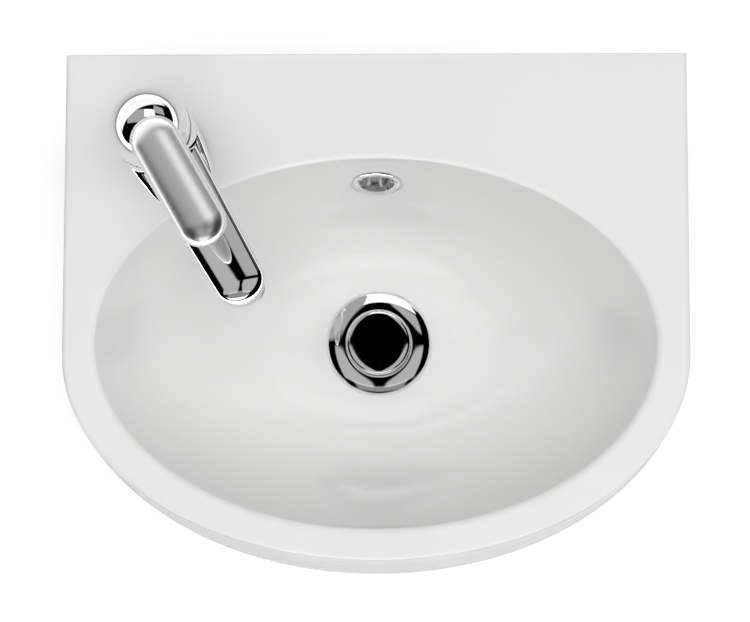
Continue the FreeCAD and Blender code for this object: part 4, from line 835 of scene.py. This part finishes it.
def finishMaterial(name, look):
    # look: colours low and high, roughness low and high, noise scales, bump, and plain Principled values
    material, tree, shader = newMaterial(name)
    group = tree.nodes.new("ShaderNodeGroup")
    group.node_tree = uneven
    group.inputs["Colour Low"].default_value = (*look["colours"][0], 1)
    group.inputs["Colour High"].default_value = (*look["colours"][1], 1)
    group.inputs["Rough Low"].default_value, group.inputs["Rough High"].default_value = look["rough"]
    group.inputs["Slow Scale"].default_value, group.inputs["Fine Scale"].default_value = look["scales"]
    tree.links.new(group.outputs["Colour"], shader.inputs["Base Color"])
    tree.links.new(group.outputs["Roughness"], shader.inputs["Roughness"])
    if look["bump"]:
        bump = tree.nodes.new("ShaderNodeBump")
        bump.inputs["Strength"].default_value = look["bump"][0]
        bump.inputs["Distance"].default_value = look["bump"][1]
        tree.links.new(group.outputs["Height"], bump.inputs["Height"])
        tree.links.new(bump.outputs["Normal"], shader.inputs["Normal"])
    for socket, value in look["plain"].items():
        shader.inputs[socket].default_value = value
    return material


looks = {
    "glaze": {"colours": ((0.79, 0.79, 0.785), (0.815, 0.815, 0.81)), "rough": (0.05, 0.09),
              "scales": (9, 90), "bump": (0.04, 0.0004), "plain": {"IOR": 1.5}},
    "chrome": {"colours": ((0.83, 0.835, 0.84), (0.87, 0.875, 0.88)), "rough": (0.015, 0.05),
               "scales": (30, 900), "bump": None, "plain": {"Metallic": 1.0}},
    "satin": {"colours": ((0.8, 0.805, 0.81), (0.85, 0.855, 0.86)), "rough": (0.26, 0.32),
              "scales": (30, 900), "bump": None, "plain": {"Metallic": 1.0}},
    "brass": {"colours": ((0.62, 0.45, 0.2), (0.74, 0.56, 0.28)), "rough": (0.22, 0.36),
              "scales": (60, 1200), "bump": (0.08, 0.0002), "plain": {"Metallic": 1.0}},
    "steel": {"colours": ((0.55, 0.56, 0.57), (0.66, 0.67, 0.67)), "rough": (0.25, 0.4),
              "scales": (80, 1500), "bump": (0.08, 0.0002), "plain": {"Metallic": 1.0}},
    "spring_steel": {"colours": ((0.42, 0.43, 0.44), (0.52, 0.53, 0.53)), "rough": (0.28, 0.4),
                     "scales": (90, 1500), "bump": None, "plain": {"Metallic": 1.0}},
    "rubber": {"colours": ((0.028, 0.028, 0.03), (0.05, 0.05, 0.052)), "rough": (0.55, 0.75),
               "scales": (60, 1500), "bump": (0.25, 0.0003), "plain": {}},
    "white_plastic": {"colours": ((0.74, 0.74, 0.72), (0.8, 0.8, 0.78)), "rough": (0.35, 0.5),
                      "scales": (60, 900), "bump": (0.1, 0.0002), "plain": {}},
    "grey_plastic": {"colours": ((0.36, 0.37, 0.39), (0.44, 0.45, 0.47)), "rough": (0.4, 0.55),
                     "scales": (60, 900), "bump": (0.1, 0.0002), "plain": {}},
    "disc_ceramic": {"colours": ((0.82, 0.8, 0.76), (0.88, 0.86, 0.82)), "rough": (0.2, 0.3),
                     "scales": (60, 1500), "bump": None, "plain": {}},
}
materials = {name: finishMaterial(name + "Finish", look) for name, look in looks.items()}


def dress(piece, slot):
    piece.data.materials.clear()
    piece.data.materials.append(materials[slot])


for piece in (*waste, button, overflowRing, tap, lever[0]):
    dress(piece, "chrome")
for piece, slot in ((basin, "glaze"), (spring, "spring_steel"), (lever[1], "satin")):
    dress(piece, slot)
for entry in frame["record"]["subparts"]:
    dress(nodes[entry["node"]], entry["material_slot"])
print("materials")


# studio: floor, dome, lamps and camera

studio = {
    "floor": -130.0, "floorHalf": 3000.0,
    "camera": (0.0281, -0.24655, 1.160), "aim": (5.034, 1.45, 0.1), "lens": 92.58,
    "ambient": 0.02, "lampSize": 1.2, "lampAim": (0, -0.16, 0), "floorLift": 0.35,
    "lamps": {  # place and energy: soft light from above, some from each side, and a low one for the front's face
        "above": ((0, -0.16, 1.9), 24.5), "front": ((0, -1.7, 1.1), 6.0), "left": ((-1.5, -0.2, 1.1), 4.4),
        "right": ((1.5, -0.2, 1.1), 9.2), "behind": ((0, 1.4, 1.1), 2.6), "lowFront": ((0, -2.0, 0.3), 7.2),
    },
    "tentRadius": 2400.0, "tentOpen": 89.5,
    "windows": [  # middle and half size as x/z and y/z, turn, soft edge, level
        ((0.1, 0.55), (0.26, 0.24), -6, 0.012, 1.2),      # behind: white arc on the drain's flange
        ((-0.72, 0.42), (0.56, 0.34), 0, 0.06, 0.42),     # behind on the left and right: grey of the lever
        ((0.72, 0.95), (0.34, 0.3), 0, 0.1, 0.42),
        ((0.2, 0.19), (0.13, 0.09), 0, 0.03, 0.45),       # nearly overhead: grey of the spout's top
        ((-0.24, -0.2), (0.16, 0.17), 0, 0.03, 0.5),      # front left and right: grey lobes on the flange
        ((0.2, -0.2), (0.16, 0.17), 0, 0.03, 0.5),
        ((0.0, -0.45), (0.25, 0.08), 0, 0.05, 0.3),
        ((0.0, -1.17), (0.4, 0.5), 0, 0.05, 1.2),         # further in front: white line along the plug's front edge
        ((0.0, -9.7), (9.0, 7.0), 0, 0.3, 4.0),           # low in front: bright line along the rims
        ((-2.12, 3.39), (3.0, 2.9), -32, 0.1, 1.1),       # low behind on the left: white side of the tap's ball
        ((0.0, 0.0), (60.0, 60.0), 0, 1.0, 1.6),          # pale band round the horizon, less its dark middle
        ((0.0, 0.0), (3.4, 3.4), 0, 0.5, -1.6),
    ],
}


def makeFloor():
    # pale floor that the camera sees a little brighter, so that it goes white but keeps the shadow
    half, z = studio["floorHalf"], studio["floor"]
    points = np.array([[(-half, -half, z), (half, -half, z)], [(-half, half, z), (half, half, z)]])
    floor = addPiece("floor", [(points, False, False)])
    material, tree, shader = newMaterial("paleFloor")
    shader.inputs["Base Color"].default_value = (0.86, 0.86, 0.86, 1)
    shader.inputs["Roughness"].default_value = 0.9
    shader.inputs["Emission Color"].default_value = (1, 1, 1, 1)
    path, lift = tree.nodes.new("ShaderNodeLightPath"), mathNode(tree, "MULTIPLY", studio["floorLift"])
    tree.links.new(path.outputs["Is Camera Ray"], lift.inputs[0])
    tree.links.new(lift.outputs[0], shader.inputs["Emission Strength"])
    floor.data.materials.append(material)


def softboxGroup():
    # strength of one window on the dome: inside a turned rectangle of the directions x/z and y/z, with a soft edge
    tree = bpy.data.node_groups.new("softbox", "ShaderNodeTree")
    for name, kind in (("Centre", "NodeSocketVector"), ("Half", "NodeSocketVector"), ("Turn", "NodeSocketFloat"),
                       ("Edge", "NodeSocketFloat"), ("Level", "NodeSocketFloat"), ("Before", "NodeSocketFloat")):
        tree.interface.new_socket(name, in_out="INPUT", socket_type=kind)
    tree.interface.new_socket("Strength", in_out="OUTPUT", socket_type="NodeSocketFloat")
    new, link = tree.nodes.new, tree.links.new
    ins, outs = new("NodeGroupInput"), new("NodeGroupOutput")
    place, split = new("ShaderNodeTexCoord"), new("ShaderNodeSeparateXYZ")
    link(place.outputs["Object"], split.inputs[0])
    flat = new("ShaderNodeCombineXYZ")
    for axis in ("X", "Y"):
        share = mathNode(tree, "DIVIDE")
        link(split.outputs[axis], share.inputs[0])
        link(split.outputs["Z"], share.inputs[1])
        link(share.outputs[0], flat.inputs[axis])
    offset, size, over = (new("ShaderNodeVectorMath") for _ in range(3))
    turned = new("ShaderNodeVectorRotate")
    offset.operation, size.operation, over.operation = "SUBTRACT", "ABSOLUTE", "SUBTRACT"
    turned.rotation_type = "Z_AXIS"
    link(flat.outputs[0], offset.inputs[0])
    link(ins.outputs["Centre"], offset.inputs[1])
    link(offset.outputs[0], turned.inputs["Vector"])
    link(ins.outputs["Turn"], turned.inputs["Angle"])
    link(turned.outputs[0], size.inputs[0])
    link(size.outputs[0], over.inputs[0])
    link(ins.outputs["Half"], over.inputs[1])
    beyond = new("ShaderNodeSeparateXYZ")
    link(over.outputs[0], beyond.inputs[0])
    last = ins.outputs["Level"]
    for axis in ("X", "Y"):
        fade, part = new("ShaderNodeMapRange"), mathNode(tree, "MULTIPLY")
        fade.interpolation_type = "SMOOTHSTEP"
        fade.inputs["To Min"].default_value, fade.inputs["To Max"].default_value = 1, 0
        fade.inputs["From Min"].default_value = 0
        link(ins.outputs["Edge"], fade.inputs["From Max"])
        link(beyond.outputs[axis], fade.inputs["Value"])
        link(fade.outputs[0], part.inputs[0])
        link(last, part.inputs[1])
        last = part.outputs[0]
    total = mathNode(tree, "ADD")
    link(last, total.inputs[0])
    link(ins.outputs["Before"], total.inputs[1])
    link(total.outputs[0], outs.inputs["Strength"])
    return tree


def makeTent():
    # dark dome round the basin that only mirror rays meet, with soft lit windows in it
    polar = np.radians(np.linspace(0, studio["tentOpen"], 30))[:, None]
    angle = np.linspace(0, 2 * np.pi, 64, endpoint=False)[None, :]
    tent = addPiece("tent", [(ballPoints(studio["tentRadius"], polar, angle), False, True)])
    material = bpy.data.materials.new("tent")
    material.use_nodes = True
    tree = material.node_tree
    tree.nodes.clear()
    glow, out = tree.nodes.new("ShaderNodeEmission"), tree.nodes.new("ShaderNodeOutputMaterial")
    group, before = softboxGroup(), None
    for centre, half, turn, edge, level in studio["windows"]:
        window = tree.nodes.new("ShaderNodeGroup")
        window.node_tree = group
        window.inputs["Centre"].default_value, window.inputs["Half"].default_value = (*centre, 0), (*half, 0)
        window.inputs["Turn"].default_value = math.radians(turn)
        window.inputs["Edge"].default_value, window.inputs["Level"].default_value = edge, level
        if before:
            tree.links.new(before.outputs[0], window.inputs["Before"])
        before = window
    tree.links.new(before.outputs[0], glow.inputs["Strength"])
    tree.links.new(glow.outputs[0], out.inputs["Surface"])
    tent.data.materials.append(material)
    tent.visible_camera = tent.visible_diffuse = tent.visible_shadow = tent.visible_transmission = False


def makeLight():
    # white world for camera, mirror and glass rays, faint for the rest, and soft lamps aimed at the bowl
    world = bpy.data.worlds.new("studio")
    bpy.context.scene.world = world
    world.use_nodes = True
    tree = world.node_tree
    background, path = tree.nodes["Background"], tree.nodes.new("ShaderNodeLightPath")
    seen, more = mathNode(tree, "MAXIMUM"), mathNode(tree, "MAXIMUM")
    level = tree.nodes.new("ShaderNodeMapRange")
    tree.links.new(path.outputs["Is Camera Ray"], seen.inputs[0])
    tree.links.new(path.outputs["Is Glossy Ray"], seen.inputs[1])
    tree.links.new(seen.outputs[0], more.inputs[0])
    tree.links.new(path.outputs["Is Transmission Ray"], more.inputs[1])
    tree.links.new(more.outputs[0], level.inputs["Value"])
    level.inputs["To Min"].default_value, level.inputs["To Max"].default_value = studio["ambient"], 1.0
    tree.links.new(level.outputs["Result"], background.inputs["Strength"])
    background.inputs["Color"].default_value = (1, 1, 1, 1)
    for name, (place, energy) in studio["lamps"].items():
        data = bpy.data.lights.new(name, "AREA")
        data.shape, data.size, data.energy = "SQUARE", studio["lampSize"], energy
        lamp = bpy.data.objects.new(name, data)
        lamp.location = place
        lamp.rotation_euler = (Vector(studio["lampAim"]) - Vector(place)).to_track_quat("-Z", "Y").to_euler()
        lamp.visible_glossy = False
        bpy.context.scene.collection.objects.link(lamp)


def makeCamera():
    data = bpy.data.cameras.new("camera")
    data.sensor_width, data.sensor_fit, data.lens = 36.0, "HORIZONTAL", studio["lens"]
    data.clip_start, data.clip_end = 0.01, 50
    camera = bpy.data.objects.new("camera", data)
    camera.location = studio["camera"]
    camera.rotation_euler = [math.radians(a) for a in studio["aim"]]
    bpy.context.scene.collection.objects.link(camera)
    bpy.context.scene.camera = camera


makeFloor()
makeTent()
makeLight()
makeCamera()
bpy.context.scene.view_settings.view_transform = "Standard"
print("studio")
